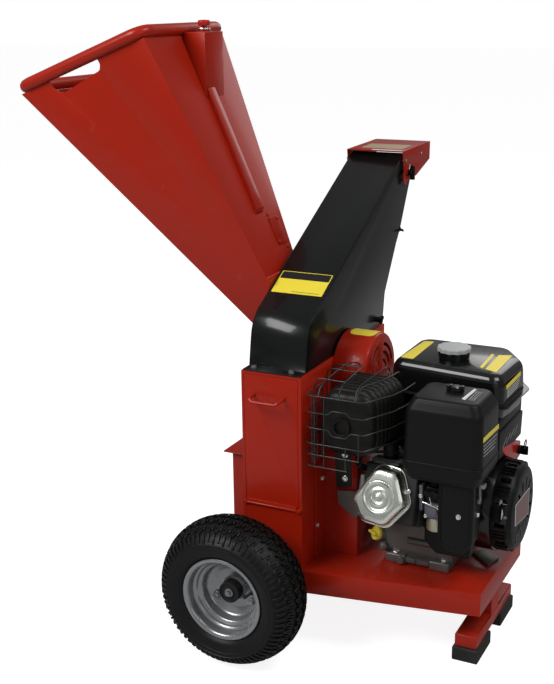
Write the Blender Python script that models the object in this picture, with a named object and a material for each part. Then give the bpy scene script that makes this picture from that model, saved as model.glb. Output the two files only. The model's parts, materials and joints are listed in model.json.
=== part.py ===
"""Petrol wood chipper: a disc chipper with a tilted feed hopper, a discharge chute
and a single cylinder engine on a two wheeled deck. Metres, +Z up.

Places are measured from the ground under the middle of the axle: +X runs from the
axle towards the foot, -Y is the side with the rotor door. One empty then moves the
whole machine so that its box stands centred on the origin.
"""
import math

import bmesh
import bpy
from mathutils import Matrix, Vector

# Wheels and axle
TYRE_RADIUS = 0.165
TYRE_HALF_WIDTH = 0.066
WHEEL_Y = 0.332
RIM_FLANGE_RADIUS = 0.0915
RIM_HALF_WIDTH = 0.0555
BEAD_RADIUS = 0.0825
HUB_RADIUS = 0.0235
AXLE_RADIUS = 0.0095
WHEEL_SEGMENTS = 24

# Deck and foot
DECK_TOP = 0.178
DECK_SHEET = 0.003
DECK_DEPTH = 0.052
DECK_LEFT = -0.135
DECK_KNEE = 0.115
DECK_RIGHT = 0.488
DECK_HALF_WIDTH = 0.219
DECK_END_HALF_WIDTH = 0.156
FOOT_X = (0.428, 0.477)
FOOT_Z = (0.0316, 0.0616)
FOOT_HALF_LENGTH = 0.134
POST_HALF_WIDTH = 0.025
PAD_Y = (0.038, 0.139)
PAD_OVERHANG = 0.004

# Rotor housing and door
HOUSING_X = (-0.030, 0.110)
HOUSING_Y = (-0.222, 0.242)
HOUSING_TOP = 0.617
SHEET = 0.003
THIN_SHEET = 0.0025
DOOR_X = (-0.0237, 0.1017)
DOOR_Z = (0.3235, 0.6110)
DOOR_HINGE = (-0.2250, 0.3190)
DOOR_HANDLE_X = (0.000, 0.071)
DOOR_HANDLE_Z = 0.566

# Rotor, drive and belts
SHAFT_Y = 0.020
ROTOR_Z = 0.567
CRANK_Z = 0.310
SHAFT_RADIUS = 0.0125
DISC_RADIUS = 0.188
DISC_X = (-0.004, 0.008)
KNIFE_X = (-0.014, -0.0043)
PADDLE_END = 0.090
SCROLL_RADIUS = 0.203
ROTOR_PULLEY_RADIUS = 0.065
CLUTCH_RADIUS = 0.050
PULLEY_X = (0.148, 0.182)
BELT_X = (0.1575, 0.1725)
BELT_THICKNESS = 0.0075
GUARD_X = (0.1105, 0.189)
COWL_RADIUS = 0.093
COWL_END = 0.190

# Battery box
BATTERY_BOX_X = (-0.124, -0.0305)
BATTERY_BOX_HALF = 0.100
BATTERY_BOX_TOP = 0.3745

# Engine
CASE_X = (0.250, 0.403)
CYLINDER_TILT = math.radians(18)
CYLINDER_X = (0.232, 0.338)
COVER_U = (0.1925, 0.232)
SHROUD_RADIUS = 0.103
SHROUD_X = (0.405, 0.478)
RECOIL_RADIUS = 0.098
RECOIL_END = 0.525
TANK_TOP = 0.615
CLEANER_X = (0.345, 0.490)
CLEANER_Y = (-0.200, -0.062)
CLEANER_SEAM = 0.470
CLEANER_TOP = 0.600
CLEANER_KNOB = (0.408, -0.120)
MUFFLER_X = (0.158, 0.268)
MUFFLER_Y = (-0.215, -0.080)
MUFFLER_Z = (0.452, 0.578)
MUFFLER_PORT = (0.199, 0.522)
WIRE_RADIUS = 0.0016

# Hopper: outer corners at the mouth and at the neck
MOUTH_LOW = (-0.602, 0.167, 1.170)
MOUTH_HIGH = (-0.274, 0.167, 1.293)
NECK_HIGH = (-0.031, 0.074, 0.762)
NECK_LOW = (-0.031, 0.053, 0.622)
RIM_TUBE_RADIUS = 0.011
RIM_CORNER = 0.030
STOP_BOX_FACE = -0.213
STOP_BOX_Y = (-0.018, 0.062)
STOP_BOX_TOP = 1.300
STOP_BUTTON = (-0.233, 0.014)
DUCT_Y = (-0.012, 0.018)
DUCT_HEIGHT = 0.0103
DUCT_END = 0.4230

# Chute and hood
CHUTE_X = (-0.026, 0.106)
CHUTE_BOTTOM = 0.6178
HOOD_X = (-0.033, 0.113)
HOOD_PIVOT = (0.355, 0.992)
HOOD_KNOB = (0.382, 0.961)
CHUTE_FOOT_X = (0.010, 0.070)
CHUTE_FOOT_END = 0.276
CHUTE_KNOB = (0.040, 0.262)
KNOB_WING = 0.0170
CHUTE_KNOB_WING = 0.0145

GAP = 0.0003
WELD = 0.00001
RED = "red_paint"
BLACK = "black_paint"
PLASTIC = "black_plastic"
ALLOY = "cast_alloy"
STEEL = "bright_steel"

# The box of the whole machine, centred on the origin
LEFT_END = MOUTH_LOW[0] - 0.0149
RIGHT_END = RECOIL_END
FRONT_END = -WHEEL_Y - TYRE_HALF_WIDTH
BACK_END = 0.5310
CENTRE = Vector(((LEFT_END + RIGHT_END) / 2, (FRONT_END + BACK_END) / 2, 0.0))

FINISHES = {
    RED: ((0.280, 0.018, 0.009), 0.35, 0.0),
    BLACK: ((0.012, 0.013, 0.013), 0.25, 0.0),
    PLASTIC: ((0.016, 0.016, 0.017), 0.55, 0.0),
    ALLOY: ((0.420, 0.420, 0.410), 0.50, 0.9),
    STEEL: ((0.620, 0.620, 0.630), 0.22, 1.0),
    "rubber": ((0.011, 0.011, 0.012), 0.75, 0.0),
    "wheel_silver": ((0.430, 0.440, 0.450), 0.35, 0.8),
    "fin_alloy": ((0.180, 0.180, 0.180), 0.55, 0.8),
    "yellow_plastic": ((0.700, 0.560, 0.030), 0.45, 0.0),
    "red_plastic": ((0.420, 0.020, 0.012), 0.35, 0.0),
    "grey_steel": ((0.250, 0.250, 0.260), 0.40, 0.9),
}


def clear_scene():
    """Remove what the scene holds, so that each run starts the same."""
    for obj in list(bpy.data.objects):
        bpy.data.objects.remove(obj, do_unlink=True)


def finish_material(name):
    """One Principled material for each finish, made when it is first asked for."""
    material = bpy.data.materials.get(name)
    if material is None:
        colour, roughness, metallic = FINISHES[name]
        material = bpy.data.materials.new(name)
        material.use_nodes = True
        shader = material.node_tree.nodes["Principled BSDF"]
        shader.inputs["Base Color"].default_value = (*colour, 1.0)
        shader.inputs["Roughness"].default_value = roughness
        shader.inputs["Metallic"].default_value = metallic
    return material


# Working shapes

def to_object(bm, name="work"):
    """Turn a bmesh into an object with its faces pointing out."""
    bmesh.ops.remove_doubles(bm, verts=bm.verts, dist=1e-6)
    bmesh.ops.recalc_face_normals(bm, faces=bm.faces)
    mesh = bpy.data.meshes.new(name)
    bm.to_mesh(mesh)
    bm.free()
    obj = bpy.data.objects.new(name, mesh)
    bpy.context.scene.collection.objects.link(obj)
    return obj


def box(x, y, z, bevel=0.0, segments=1):
    """A box between two places on each axis, with its edges bevelled if asked."""
    bm = bmesh.new()
    bmesh.ops.create_cube(bm, size=1.0)
    size = (x[1] - x[0], y[1] - y[0], z[1] - z[0])
    bmesh.ops.scale(bm, vec=size, verts=bm.verts)
    middle = ((x[0] + x[1]) / 2, (y[0] + y[1]) / 2, (z[0] + z[1]) / 2)
    bmesh.ops.translate(bm, vec=middle, verts=bm.verts)
    if bevel:
        bmesh.ops.bevel(bm, geom=bm.edges, offset=bevel, segments=segments,
                        profile=0.5, affect="EDGES", material=-1)
    return to_object(bm)


def along(axis, place, a, b):
    """The 3-D point at a place along an axis, with a and b on the two other axes."""
    if axis == "x":
        return (place, a, b)
    if axis == "y":
        return (a, place, b)
    return (a, b, place)


def prism(outline, axis, start, end, bevel=0.0, segments=1):
    """A flat outline pushed along an axis."""
    bm = bmesh.new()
    verts = [bm.verts.new(along(axis, start, a, b)) for a, b in outline]
    face = bm.faces.new(verts)
    pushed = bmesh.ops.extrude_face_region(bm, geom=[face])
    moved = [item for item in pushed["geom"] if isinstance(item, bmesh.types.BMVert)]
    bmesh.ops.translate(bm, vec=Vector(along(axis, end - start, 0, 0)), verts=moved)
    if bevel:
        rims = [e for e in bm.edges if abs(Vector(along(axis, 1, 0, 0)).dot(
            (e.verts[1].co - e.verts[0].co).normalized())) < 0.5]
        bmesh.ops.bevel(bm, geom=rims, offset=bevel, segments=segments,
                        profile=0.5, affect="EDGES", material=-1)
    return to_object(bm)


def turned(profile, axis, a, b, segments=32, closed=True):
    """A profile of (place along the axis, radius) points turned about the axis."""
    bm = bmesh.new()
    verts = [bm.verts.new(along(axis, place, a + radius, b)) if axis != "x"
             else bm.verts.new((place, a + radius, b)) for place, radius in profile]
    edges = [bm.edges.new(pair) for pair in zip(verts, verts[1:])]
    if closed:
        edges.append(bm.edges.new((verts[-1], verts[0])))
    bmesh.ops.spin(bm, geom=verts + edges, cent=along(axis, 0, a, b),
                   axis=along(axis, 1, 0, 0), angle=2 * math.pi, steps=segments,
                   use_merge=True)
    return to_object(bm)


def arc(centre, radius, start, end, steps):
    """Points on an arc, from one angle to another in degrees."""
    angles = [math.radians(start + (end - start) * i / steps) for i in range(steps + 1)]
    return [(centre[0] + radius * math.cos(t), centre[1] + radius * math.sin(t))
            for t in angles]


def rod(axis, start, end, a, b, radius, segments=16):
    """A round bar along an axis."""
    return prism(arc((a, b), radius, 0, 360, segments)[:-1], axis, start, end)


def bar(start, end, radius, segments=12):
    """A round bar between any two points."""
    start, end = Vector(start), Vector(end)
    obj = rod("z", 0.0, (end - start).length, 0.0, 0.0, radius, segments)
    turn = (end - start).to_track_quat("Z", "Y").to_matrix().to_4x4()
    obj.data.transform(Matrix.Translation(start) @ turn)
    return obj


def loft(rings, closed=False):
    """Rings of points joined in order, with flat ends unless the loft is closed."""
    bm = bmesh.new()
    loops = [[bm.verts.new(point) for point in ring] for ring in rings]
    pairs = list(zip(loops, loops[1:]))
    if closed:
        pairs.append((loops[-1], loops[0]))
    for low, high in pairs:
        for i, vert in enumerate(low):
            after = (i + 1) % len(low)
            bm.faces.new((vert, low[after], high[after], high[i]))
    if not closed:
        bm.faces.new(loops[0])
        bm.faces.new(loops[-1])
    return to_object(bm)


def wire(points, radius, cyclic=False, resolution=1):
    """A round wire or tube along a route."""
    curve = bpy.data.curves.new("wire", "CURVE")
    curve.dimensions = "3D"
    curve.bevel_depth = radius
    curve.bevel_resolution = resolution
    curve.use_fill_caps = not cyclic
    spline = curve.splines.new("POLY")
    spline.points.add(len(points) - 1)
    for point, place in zip(spline.points, points):
        point.co = (*place, 1.0)
    spline.use_cyclic_u = cyclic
    obj = bpy.data.objects.new("wire", curve)
    bpy.context.scene.collection.objects.link(obj)
    bpy.context.view_layer.update()
    graph = bpy.context.evaluated_depsgraph_get()
    mesh = bpy.data.meshes.new_from_object(obj.evaluated_get(graph))
    bpy.data.objects.remove(obj, do_unlink=True)
    bm = bmesh.new()
    bm.from_mesh(mesh)
    return to_object(bm)


def combine(target, tools, operation):
    """Join or cut a shape with others and keep the result as its mesh."""
    for tool in tools:
        modifier = target.modifiers.new(operation, "BOOLEAN")
        modifier.operation = operation
        modifier.solver = "EXACT"
        modifier.object = tool
        tool.hide_render = True
        tool.display_type = "WIRE"
    bpy.context.view_layer.update()
    graph = bpy.context.evaluated_depsgraph_get()
    mesh = bpy.data.meshes.new_from_object(target.evaluated_get(graph))
    target.modifiers.clear()
    bm = bmesh.new()
    bm.from_mesh(mesh)
    bmesh.ops.remove_doubles(bm, verts=bm.verts, dist=WELD)
    bmesh.ops.dissolve_degenerate(bm, dist=WELD, edges=bm.edges)
    bm.to_mesh(mesh)
    bm.free()
    target.data = mesh
    for tool in tools:
        bpy.data.objects.remove(tool, do_unlink=True)
    return target


def join(target, *tools):
    return combine(target, tools, "UNION")


def cut(target, *tools):
    return combine(target, tools, "DIFFERENCE")


def rounded(outline, radius, steps=3):
    """An outline with each corner turned into an arc."""
    result = []
    for i, corner in enumerate(outline):
        here = Vector(corner)
        before = (Vector(outline[i - 1]) - here)
        after = (Vector(outline[(i + 1) % len(outline)]) - here)
        angle = before.angle(after)
        run = min(radius / math.tan(angle / 2), 0.45 * before.length, 0.45 * after.length)
        first = here + before.normalized() * run
        last = here + after.normalized() * run
        for k in range(steps + 1):
            t = k / steps
            result.append(tuple((1 - t) ** 2 * first + 2 * t * (1 - t) * here + t * t * last))
    return result


def rectangle(a, b):
    """The outline of a rectangle from its two ranges."""
    return [(a[0], b[0]), (a[1], b[0]), (a[1], b[1]), (a[0], b[1])]


def transform(obj, matrix):
    """Move a shape's own points."""
    obj.data.transform(matrix)
    return obj


def part(obj, name, finish, pivot=(0.0, 0.0, 0.0), smooth=None):
    """Name a shape, give it its finish and put its origin on its pivot."""
    pivot = Vector(pivot)
    obj.data.transform(Matrix.Translation(-pivot))
    obj.name = name
    obj.data.name = name
    obj.location = pivot
    obj.parent = bpy.data.objects["machine"]
    obj.data.materials.clear()
    obj.data.materials.append(finish_material(finish))
    for polygon in obj.data.polygons:
        polygon.material_index = 0
    if smooth is not None:
        obj.data.shade_smooth()
        obj.data.set_sharp_from_angle(angle=math.radians(smooth))
    return obj


# Deck, foot and wheels

def deck_outline(inset):
    """The deck seen from above, drawn in by an inset."""
    side = DECK_HALF_WIDTH - inset
    end = DECK_END_HALF_WIDTH - inset
    left = DECK_LEFT + inset
    right = DECK_RIGHT - inset
    return [(left, -side), (DECK_KNEE, -side), (right, -end),
            (right, end), (DECK_KNEE, side), (left, side)]


def build_deck():
    """A folded tray with its open side down, and holes for the axle."""
    bottom = DECK_TOP - DECK_DEPTH
    deck = prism(deck_outline(0.0), "z", bottom, DECK_TOP)
    hollow = prism(deck_outline(DECK_SHEET), "z", bottom - 0.01, DECK_TOP - DECK_SHEET)
    axle_hole = rod("y", -0.3, 0.3, 0.0, TYRE_RADIUS, AXLE_RADIUS + GAP)
    part(cut(deck, hollow, axle_hole), "deck", RED)


def build_foot():
    """A cross bar welded under a short post, with a rubber pad at each end."""
    cross = box(FOOT_X, (-FOOT_HALF_LENGTH, FOOT_HALF_LENGTH), FOOT_Z, 0.003, 2)
    post_top = DECK_TOP - DECK_SHEET - GAP
    post = box((FOOT_X[0] + 0.001, FOOT_X[1] - 0.001), (-POST_HALF_WIDTH, POST_HALF_WIDTH),
               (FOOT_Z[1] - 0.005, post_top))
    part(join(cross, post), "foot_frame", RED)
    pad_x = (FOOT_X[0] - PAD_OVERHANG, FOOT_X[1] + PAD_OVERHANG)
    for name, side in (("foot_pad_front", -1), ("foot_pad_back", 1)):
        pad_y = sorted((side * PAD_Y[0], side * PAD_Y[1]))
        pad = box(pad_x, pad_y, (0.0, FOOT_Z[0] - GAP), 0.002, 1)
        part(pad, name, "rubber")


def build_axle():
    """One bar through both flanges, with a collar and a nut at each wheel."""
    half = [(0.0, AXLE_RADIUS), (0.279, AXLE_RADIUS), (0.279, 0.016), (0.283, 0.016),
            (0.283, AXLE_RADIUS), (0.3762, AXLE_RADIUS), (0.3762, 0.0125),
            (0.3835, 0.0125), (0.3845, 0.0110), (0.3845, 0.0)]
    profile = [(-place, radius) for place, radius in reversed(half)] + half[1:]
    axle = turned(profile, "y", 0.0, TYRE_RADIUS, 12, closed=False)
    part(axle, "axle", "grey_steel", smooth=40)


def tyre_section():
    """Half width and radius of the tyre's skin, bead to bead, then the inner skin."""
    bead = BEAD_RADIUS + GAP
    outer = [(0.0520, bead), (0.0520, 0.0955), (0.0610, 0.1040), (0.0660, 0.1240),
             (0.0635, 0.1440), (0.0540, 0.1570), (0.0300, 0.1635)]
    crown = [(0.0, TYRE_RADIUS)]
    inner = [(0.0440, 0.1500), (0.0570, 0.1270), (0.0400, 0.0960), (0.0400, bead)]
    mirrored_outer = [(-w, r) for w, r in reversed(outer)]
    mirrored_inner = [(-w, r) for w, r in reversed(inner)]
    return outer + crown + mirrored_outer + mirrored_inner + inner


def rim_section(side):
    """The rim's wall, its stepped disc and its hub tube, as one turned outline."""
    wall = 0.003
    seat = BEAD_RADIUS
    well = 0.0660
    flange = RIM_FLANGE_RADIUS
    edge = RIM_HALF_WIDTH
    outside = [(edge, flange), (edge - wall, flange), (edge - wall, seat), (0.032, seat - 0.001),
               (0.023, well), (-0.023, well), (-0.032, seat - 0.001), (-edge + wall, seat),
               (-edge + wall, flange), (-edge, flange)]
    inside = [(-edge, seat - wall), (-0.0335, seat - 0.004), (-0.0250, well - wall)]
    disc_back = [(-0.0030, well - wall), (-0.0100, 0.044), (-0.0100, HUB_RADIUS),
                 (-0.0480, HUB_RADIUS), (-0.0480, AXLE_RADIUS + GAP)]
    disc_front = [(0.0430, AXLE_RADIUS + GAP), (0.0430, HUB_RADIUS), (-0.0065, HUB_RADIUS),
                  (-0.0065, 0.042), (0.0005, well - wall - 0.005), (0.0150, well - wall),
                  (0.0250, well - wall), (0.0335, seat - 0.004), (edge, seat - wall)]
    return [(side * w, r) for w, r in outside + inside + disc_back + disc_front]


def build_wheel(name, side):
    """A pneumatic tyre on a pressed rim with a hub tube, turning on the axle."""
    centre = (0.0, side * WHEEL_Y, TYRE_RADIUS)
    shift = Matrix.Translation((0.0, side * WHEEL_Y, 0.0))
    tyre = turned(tyre_section(), "y", 0.0, TYRE_RADIUS, WHEEL_SEGMENTS)
    part(transform(tyre, shift), "tyre_" + name, "rubber", centre, smooth=50)
    rim = turned(rim_section(side), "y", 0.0, TYRE_RADIUS, WHEEL_SEGMENTS)
    part(transform(rim, shift), "rim_" + name, "wheel_silver", centre, smooth=35)


# Rotor housing, door and battery box

def scroll_path(radius):
    """The curved floor under the disc, from the door sill round to the back wall."""
    centre = Vector((SHAFT_Y, ROTOR_Z))
    sill = Vector((HOUSING_Y[0] + SHEET / 2, DOOR_Z[0] - 0.012))
    reach = sill - centre
    tangent = math.degrees(math.atan2(reach.y, reach.x)) % 360
    tangent += math.degrees(math.acos(radius / reach.length))
    curve = arc(centre, radius, tangent, 350, 14)
    return [tuple(sill)] + curve + [(HOUSING_Y[1] - SHEET / 2, 0.585)]


def build_housing():
    """The box round the rotor: door opening, scroll floor, top lips, shaft holes."""
    x0, x1 = HOUSING_X
    y0, y1 = HOUSING_Y
    floor_z = DECK_TOP + GAP
    shell = box(HOUSING_X, HOUSING_Y, (floor_z, HOUSING_TOP))
    inside = box((x0 + SHEET, x1 - SHEET), (y0 + SHEET, y1 - SHEET), (floor_z - 0.01, 0.70))
    opening = box((DOOR_X[0] - 0.0008, DOOR_X[1] + 0.0008), (y0 - 0.02, y0 + 0.01),
                  (DOOR_Z[0] - 0.0008, DOOR_Z[1] + 0.0008))
    shaft_hole = rod("x", x0 - 0.02, x1 + 0.02, SHAFT_Y, ROTOR_Z, 0.020, 24)
    cut(shell, inside, opening, shaft_hole)
    floor = scroll_path(SCROLL_RADIUS) + scroll_path(SCROLL_RADIUS + SHEET)[::-1]
    scroll = prism(floor, "x", x0 + 0.001, x1 - 0.001)
    lip_z = (HOUSING_TOP - SHEET, HOUSING_TOP)
    front_lip = box((x0 + 0.001, x1 - 0.001), (y0 + 0.001, -0.199), lip_z)
    left_lip = box((x0 + 0.001, -0.0190), (y0 + 0.001, y1 - 0.001), lip_z)
    right_lip = box((0.0980, x1 - 0.001), (y0 + 0.001, y1 - 0.001), lip_z)
    back_lip = box((0.020, 0.060), (y1 - 0.001, CHUTE_FOOT_END), lip_z)
    hinge_y, hinge_z = DOOR_HINGE
    ears = [box(x, (hinge_y - 0.0035, y0 + 0.0005), (hinge_z - 0.0035, hinge_z + 0.0035))
            for x in ((x0 + 0.0015, DOOR_X[0] + 0.0037), (DOOR_X[1] - 0.0037, x1 - 0.0015))]
    join(shell, scroll, front_lip, left_lip, right_lip, back_lip, *ears)
    part(shell, "rotor_housing", RED)


def build_door():
    """The rotor door: a dished panel on a bottom hinge rod, with a bent rod handle."""
    face = HOUSING_Y[0]
    panel = box(DOOR_X, (face, face + SHEET), DOOR_Z)
    flange_z = (DOOR_Z[0] + 0.012, DOOR_Z[1] - 0.012)
    for edge in ((DOOR_X[0] + 0.004, DOOR_X[0] + 0.006), (DOOR_X[1] - 0.006, DOOR_X[1] - 0.004)):
        join(panel, box(edge, (face + 0.001, face + 0.013), flange_z))
    hinge_y, hinge_z = DOOR_HINGE
    hinge = rod("x", DOOR_X[0] + 0.004, DOOR_X[1] - 0.004, hinge_y, hinge_z, 0.0026, 12)
    width = (DOOR_X[0] + 0.004, DOOR_X[1] - 0.004)
    web = box(width, (hinge_y - 0.0010, face - GAP), (hinge_z, DOOR_Z[0] + 0.003))
    fold = box(width, (hinge_y - 0.0010, face + 0.0010), (DOOR_Z[0] + 0.0004, DOOR_Z[0] + 0.004))
    left, right = DOOR_HANDLE_X
    handle = wire([(left, face + 0.0015, DOOR_HANDLE_Z), (left, face - 0.020, DOOR_HANDLE_Z),
                   (left + 0.003, face - 0.026, DOOR_HANDLE_Z - 0.002),
                   (left + 0.009, face - 0.028, DOOR_HANDLE_Z - 0.006),
                   (right - 0.009, face - 0.028, DOOR_HANDLE_Z - 0.006),
                   (right - 0.003, face - 0.026, DOOR_HANDLE_Z - 0.002),
                   (right, face - 0.020, DOOR_HANDLE_Z), (right, face + 0.0015, DOOR_HANDLE_Z)],
                  0.0035, resolution=2)
    join(panel, hinge, web, fold, handle)
    part(panel, "rotor_door", RED, (0.0, hinge_y, hinge_z))


def build_battery_box():
    """An open steel box beside the housing, its battery and a flat lid."""
    x0, x1 = BATTERY_BOX_X
    half = BATTERY_BOX_HALF
    low = DECK_TOP + GAP
    body = box(BATTERY_BOX_X, (-half, half), (low, BATTERY_BOX_TOP))
    inside = box((x0 + 0.002, x1 - 0.002), (-half + 0.002, half - 0.002),
                 (low + 0.002, BATTERY_BOX_TOP + 0.01))
    part(cut(body, inside), "battery_box", RED)
    lid_x = (x0 - 0.015, x1)
    lid_z = BATTERY_BOX_TOP + GAP
    lid = box(lid_x, (-half - 0.015, half + 0.015), (lid_z, lid_z + 0.003))
    part(lid, "battery_lid", RED)
    battery_z = low + 0.002 + GAP
    battery = box((x0 + 0.007, x0 + 0.084), (-0.0905, 0.0905), (battery_z, battery_z + 0.155), 0.002)
    posts = [rod("z", battery_z + 0.15, battery_z + 0.167, x0 + 0.045, y, 0.007, 12)
             for y in (-0.070, 0.070)]
    part(join(battery, *posts), "battery", PLASTIC)


# Rotor and drive

def build_bearings():
    """A flange bearing unit on each side wall of the housing."""
    half = 0.0475
    y = (SHAFT_Y - half, SHAFT_Y + half)
    z = (ROTOR_Z - half, ROTOR_Z + half)
    sides = (("bearing_left", HOUSING_X[0] - GAP, -1), ("bearing_right", HOUSING_X[1] + GAP, 1))
    for name, face, side in sides:
        plate_x = sorted((face, face + side * 0.012))
        plate = prism(rounded(rectangle(y, z), 0.012), "x", *plate_x)
        hub = rod("x", *sorted((face + side * 0.002, face + side * 0.026)), SHAFT_Y, ROTOR_Z, 0.034, 24)
        bore = rod("x", *sorted((face - side * 0.01, face + side * 0.04)), SHAFT_Y, ROTOR_Z,
                   SHAFT_RADIUS + 0.0004, 24)
        part(cut(join(plate, hub), bore), name, ALLOY, smooth=35)


def build_rotor():
    """Shaft, disc with knife windows and paddles, two knives and a belt pulley."""
    pivot = (0.0, SHAFT_Y, ROTOR_Z)
    shaft = rod("x", -0.060, 0.186, SHAFT_Y, ROTOR_Z, SHAFT_RADIUS, 24)
    part(shaft, "rotor_shaft", STEEL, pivot, smooth=35)
    turn = [Matrix.Translation(pivot) @ Matrix.Rotation(math.radians(angle), 4, "X")
            for angle in (0, 90, 180, 270)]
    disc = rod("x", *DISC_X, SHAFT_Y, ROTOR_Z, DISC_RADIUS, 48)
    hub = rod("x", DISC_X[1] - 0.001, 0.050, SHAFT_Y, ROTOR_Z, 0.030, 24)
    paddles = [transform(box((DISC_X[1] - 0.001, PADDLE_END), (-0.0025, 0.0025), (0.028, 0.184)), m)
               for m in turn]
    join(disc, hub, *paddles)
    window = (0.066, 0.172)
    windows = [transform(box((DISC_X[0] - 0.01, DISC_X[1] + 0.004), (0.008, 0.024), window), m)
               for m in (turn[0], turn[2])]
    bore = rod("x", -0.03, 0.12, SHAFT_Y, ROTOR_Z, SHAFT_RADIUS + GAP, 24)
    part(cut(disc, bore, *windows), "rotor_disc", "grey_steel", pivot, smooth=35)
    back, front = KNIFE_X[1], KNIFE_X[0]
    blade = [(back, -0.026), (back, 0.0145), (front, 0.0195), (front, -0.026)]
    for name, m in (("knife_1", turn[0]), ("knife_2", turn[2])):
        knife = prism([(x, y) for x, y in blade], "z", window[0] - 0.003, window[1] + 0.003)
        part(transform(knife, m), name, STEEL, pivot)


def grooved_wheel(radius):
    """A pulley with a V groove for each belt, as a turned outline about X."""
    start, end = PULLEY_X
    profile = [(start, SHAFT_RADIUS + GAP), (start, radius)]
    for middle in BELT_X:
        profile += [(middle - 0.0068, radius), (middle - 0.0040, radius - 0.011),
                    (middle + 0.0040, radius - 0.011), (middle + 0.0068, radius)]
    profile += [(end, radius), (end, SHAFT_RADIUS + GAP)]
    return profile


def belt_loop(top_radius, low_radius):
    """Points and outward normals round both pulleys, in the YZ plane."""
    span = ROTOR_Z - CRANK_Z
    lean = math.degrees(math.asin((top_radius - low_radius) / span))
    top = arc((SHAFT_Y, ROTOR_Z), top_radius, -lean, 180 + lean, 14)
    low = arc((SHAFT_Y, CRANK_Z), low_radius, 180 + lean, 360 - lean, 12)
    centres = [Vector((SHAFT_Y, ROTOR_Z))] * len(top) + [Vector((SHAFT_Y, CRANK_Z))] * len(low)
    points = [Vector(p) for p in top + low]
    return [(p, (p - c).normalized()) for p, c in zip(points, centres)]


def build_drive():
    """Pulley, clutch pulley and the two V belts between them."""
    pulley = turned(grooved_wheel(ROTOR_PULLEY_RADIUS), "x", SHAFT_Y, ROTOR_Z, 20)
    part(pulley, "rotor_pulley", "grey_steel", (0.0, SHAFT_Y, ROTOR_Z), smooth=35)
    clutch = turned(grooved_wheel(CLUTCH_RADIUS), "x", SHAFT_Y, CRANK_Z, 20)
    part(clutch, "clutch_pulley", "grey_steel", (0.0, SHAFT_Y, CRANK_Z), smooth=35)
    loop = belt_loop(ROTOR_PULLEY_RADIUS - 0.0004, CLUTCH_RADIUS - 0.0004)
    for number, x in enumerate(BELT_X, 1):
        rings = []
        for point, normal in loop:
            inner = point - normal * BELT_THICKNESS
            rings.append([(x - 0.0060, *point), (x + 0.0060, *point),
                          (x + 0.0036, *inner), (x - 0.0036, *inner)])
        part(loft(rings, closed=True), f"drive_belt_{number}", "rubber")


def build_anvil():
    """The fixed bar at the edge of the feed opening that the knives cut against."""
    outline = [(0.0560, 0.626), (0.0760, 0.757), (0.0910, 0.754), (0.0710, 0.626)]
    anvil = prism(outline, "x", CHUTE_X[0] + SHEET + GAP, KNIFE_X[0] - 0.0010)
    part(anvil, "anvil", STEEL)


def guard_outline(inset):
    """The belt guard from the engine side; the top runs up into the round cowl."""
    if inset:
        low, high = DECK_TOP - 0.01, 0.575
    else:
        low, high = DECK_TOP + GAP, 0.540
    return [(-0.105 + inset, low), (0.145 - inset, low), (0.145 - inset, 0.415),
            (0.108 - inset, 0.505), (0.108 - inset, high), (-0.068 + inset, high),
            (-0.068 + inset, 0.500), (-0.088 + inset, 0.445), (-0.105 + inset, 0.410)]


def build_belt_guard():
    """The sheet metal guard over the belts, with a foot flange on the housing."""
    start, end = GUARD_X
    guard = prism(guard_outline(0.0), "x", start, end)
    flange = box((start, start + THIN_SHEET), (-0.160, -0.100), (DECK_TOP + GAP, 0.400))
    join(guard, flange)
    hollow = prism(guard_outline(THIN_SHEET), "x", start - 0.01, end - THIN_SHEET)
    round_top = rod("x", start - 0.02, end + 0.02, SHAFT_Y, ROTOR_Z, COWL_RADIUS + 0.0006, 48)
    crank_hole = rod("x", end - 0.02, end + 0.02, SHAFT_Y, CRANK_Z, 0.028, 24)
    part(cut(guard, hollow, round_top, crank_hole), "belt_guard", RED)


def arc_slot(radius, middle, half_angle, width, x):
    """A curved slot through the cowl's end face."""
    centre = (SHAFT_Y, ROTOR_Z)
    outer = arc(centre, radius + width / 2, middle - half_angle, middle + half_angle, 3)
    inner = arc(centre, radius - width / 2, middle + half_angle, middle - half_angle, 3)
    return prism(outer + inner, "x", *x)


def build_cowl():
    """The round cowl over the rotor pulley, with rings of arc slots in its face."""
    start, end = GUARD_X[0], COWL_END
    wall = THIN_SHEET
    r = COWL_RADIUS
    profile = [(start, r - wall), (start, r), (end - 0.010, r), (end - 0.004, r - 0.002),
               (end - 0.001, r - 0.006), (end, r - 0.012), (end, 0.0)]
    inner = [(end - wall, 0.0), (end - wall, r - 0.013), (end - 0.006, r - wall - 0.003),
             (end - 0.012, r - wall)]
    cowl = turned(profile + inner, "x", SHAFT_Y, ROTOR_Z, 28)
    belt_way = box((start - 0.01, end - wall - 0.006), (SHAFT_Y - 0.072, SHAFT_Y + 0.072),
                   (ROTOR_Z - 0.12, ROTOR_Z - 0.050))
    slots = [arc_slot(radius, middle, half_angle, 0.007, (end - 0.01, end + 0.01))
             for radius, half_angle in ((0.068, 31), (0.050, 29), (0.032, 24))
             for middle in (45, 135, 225, 315)]
    part(cut(cowl, belt_way, *slots), "pulley_cowl", RED, smooth=35)


# Engine block

def cylinder_frame():
    """The matrix from (x, w, u) to the machine: u runs out along the cylinder."""
    out = Vector((0.0, -math.cos(CYLINDER_TILT), math.sin(CYLINDER_TILT)))
    up = Vector((0.0, math.sin(CYLINDER_TILT), math.cos(CYLINDER_TILT)))
    side = Vector((1.0, 0.0, 0.0))
    matrix = Matrix((side, up, out)).transposed().to_4x4()
    return Matrix.Translation((0.0, SHAFT_Y, CRANK_Z)) @ matrix


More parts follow.
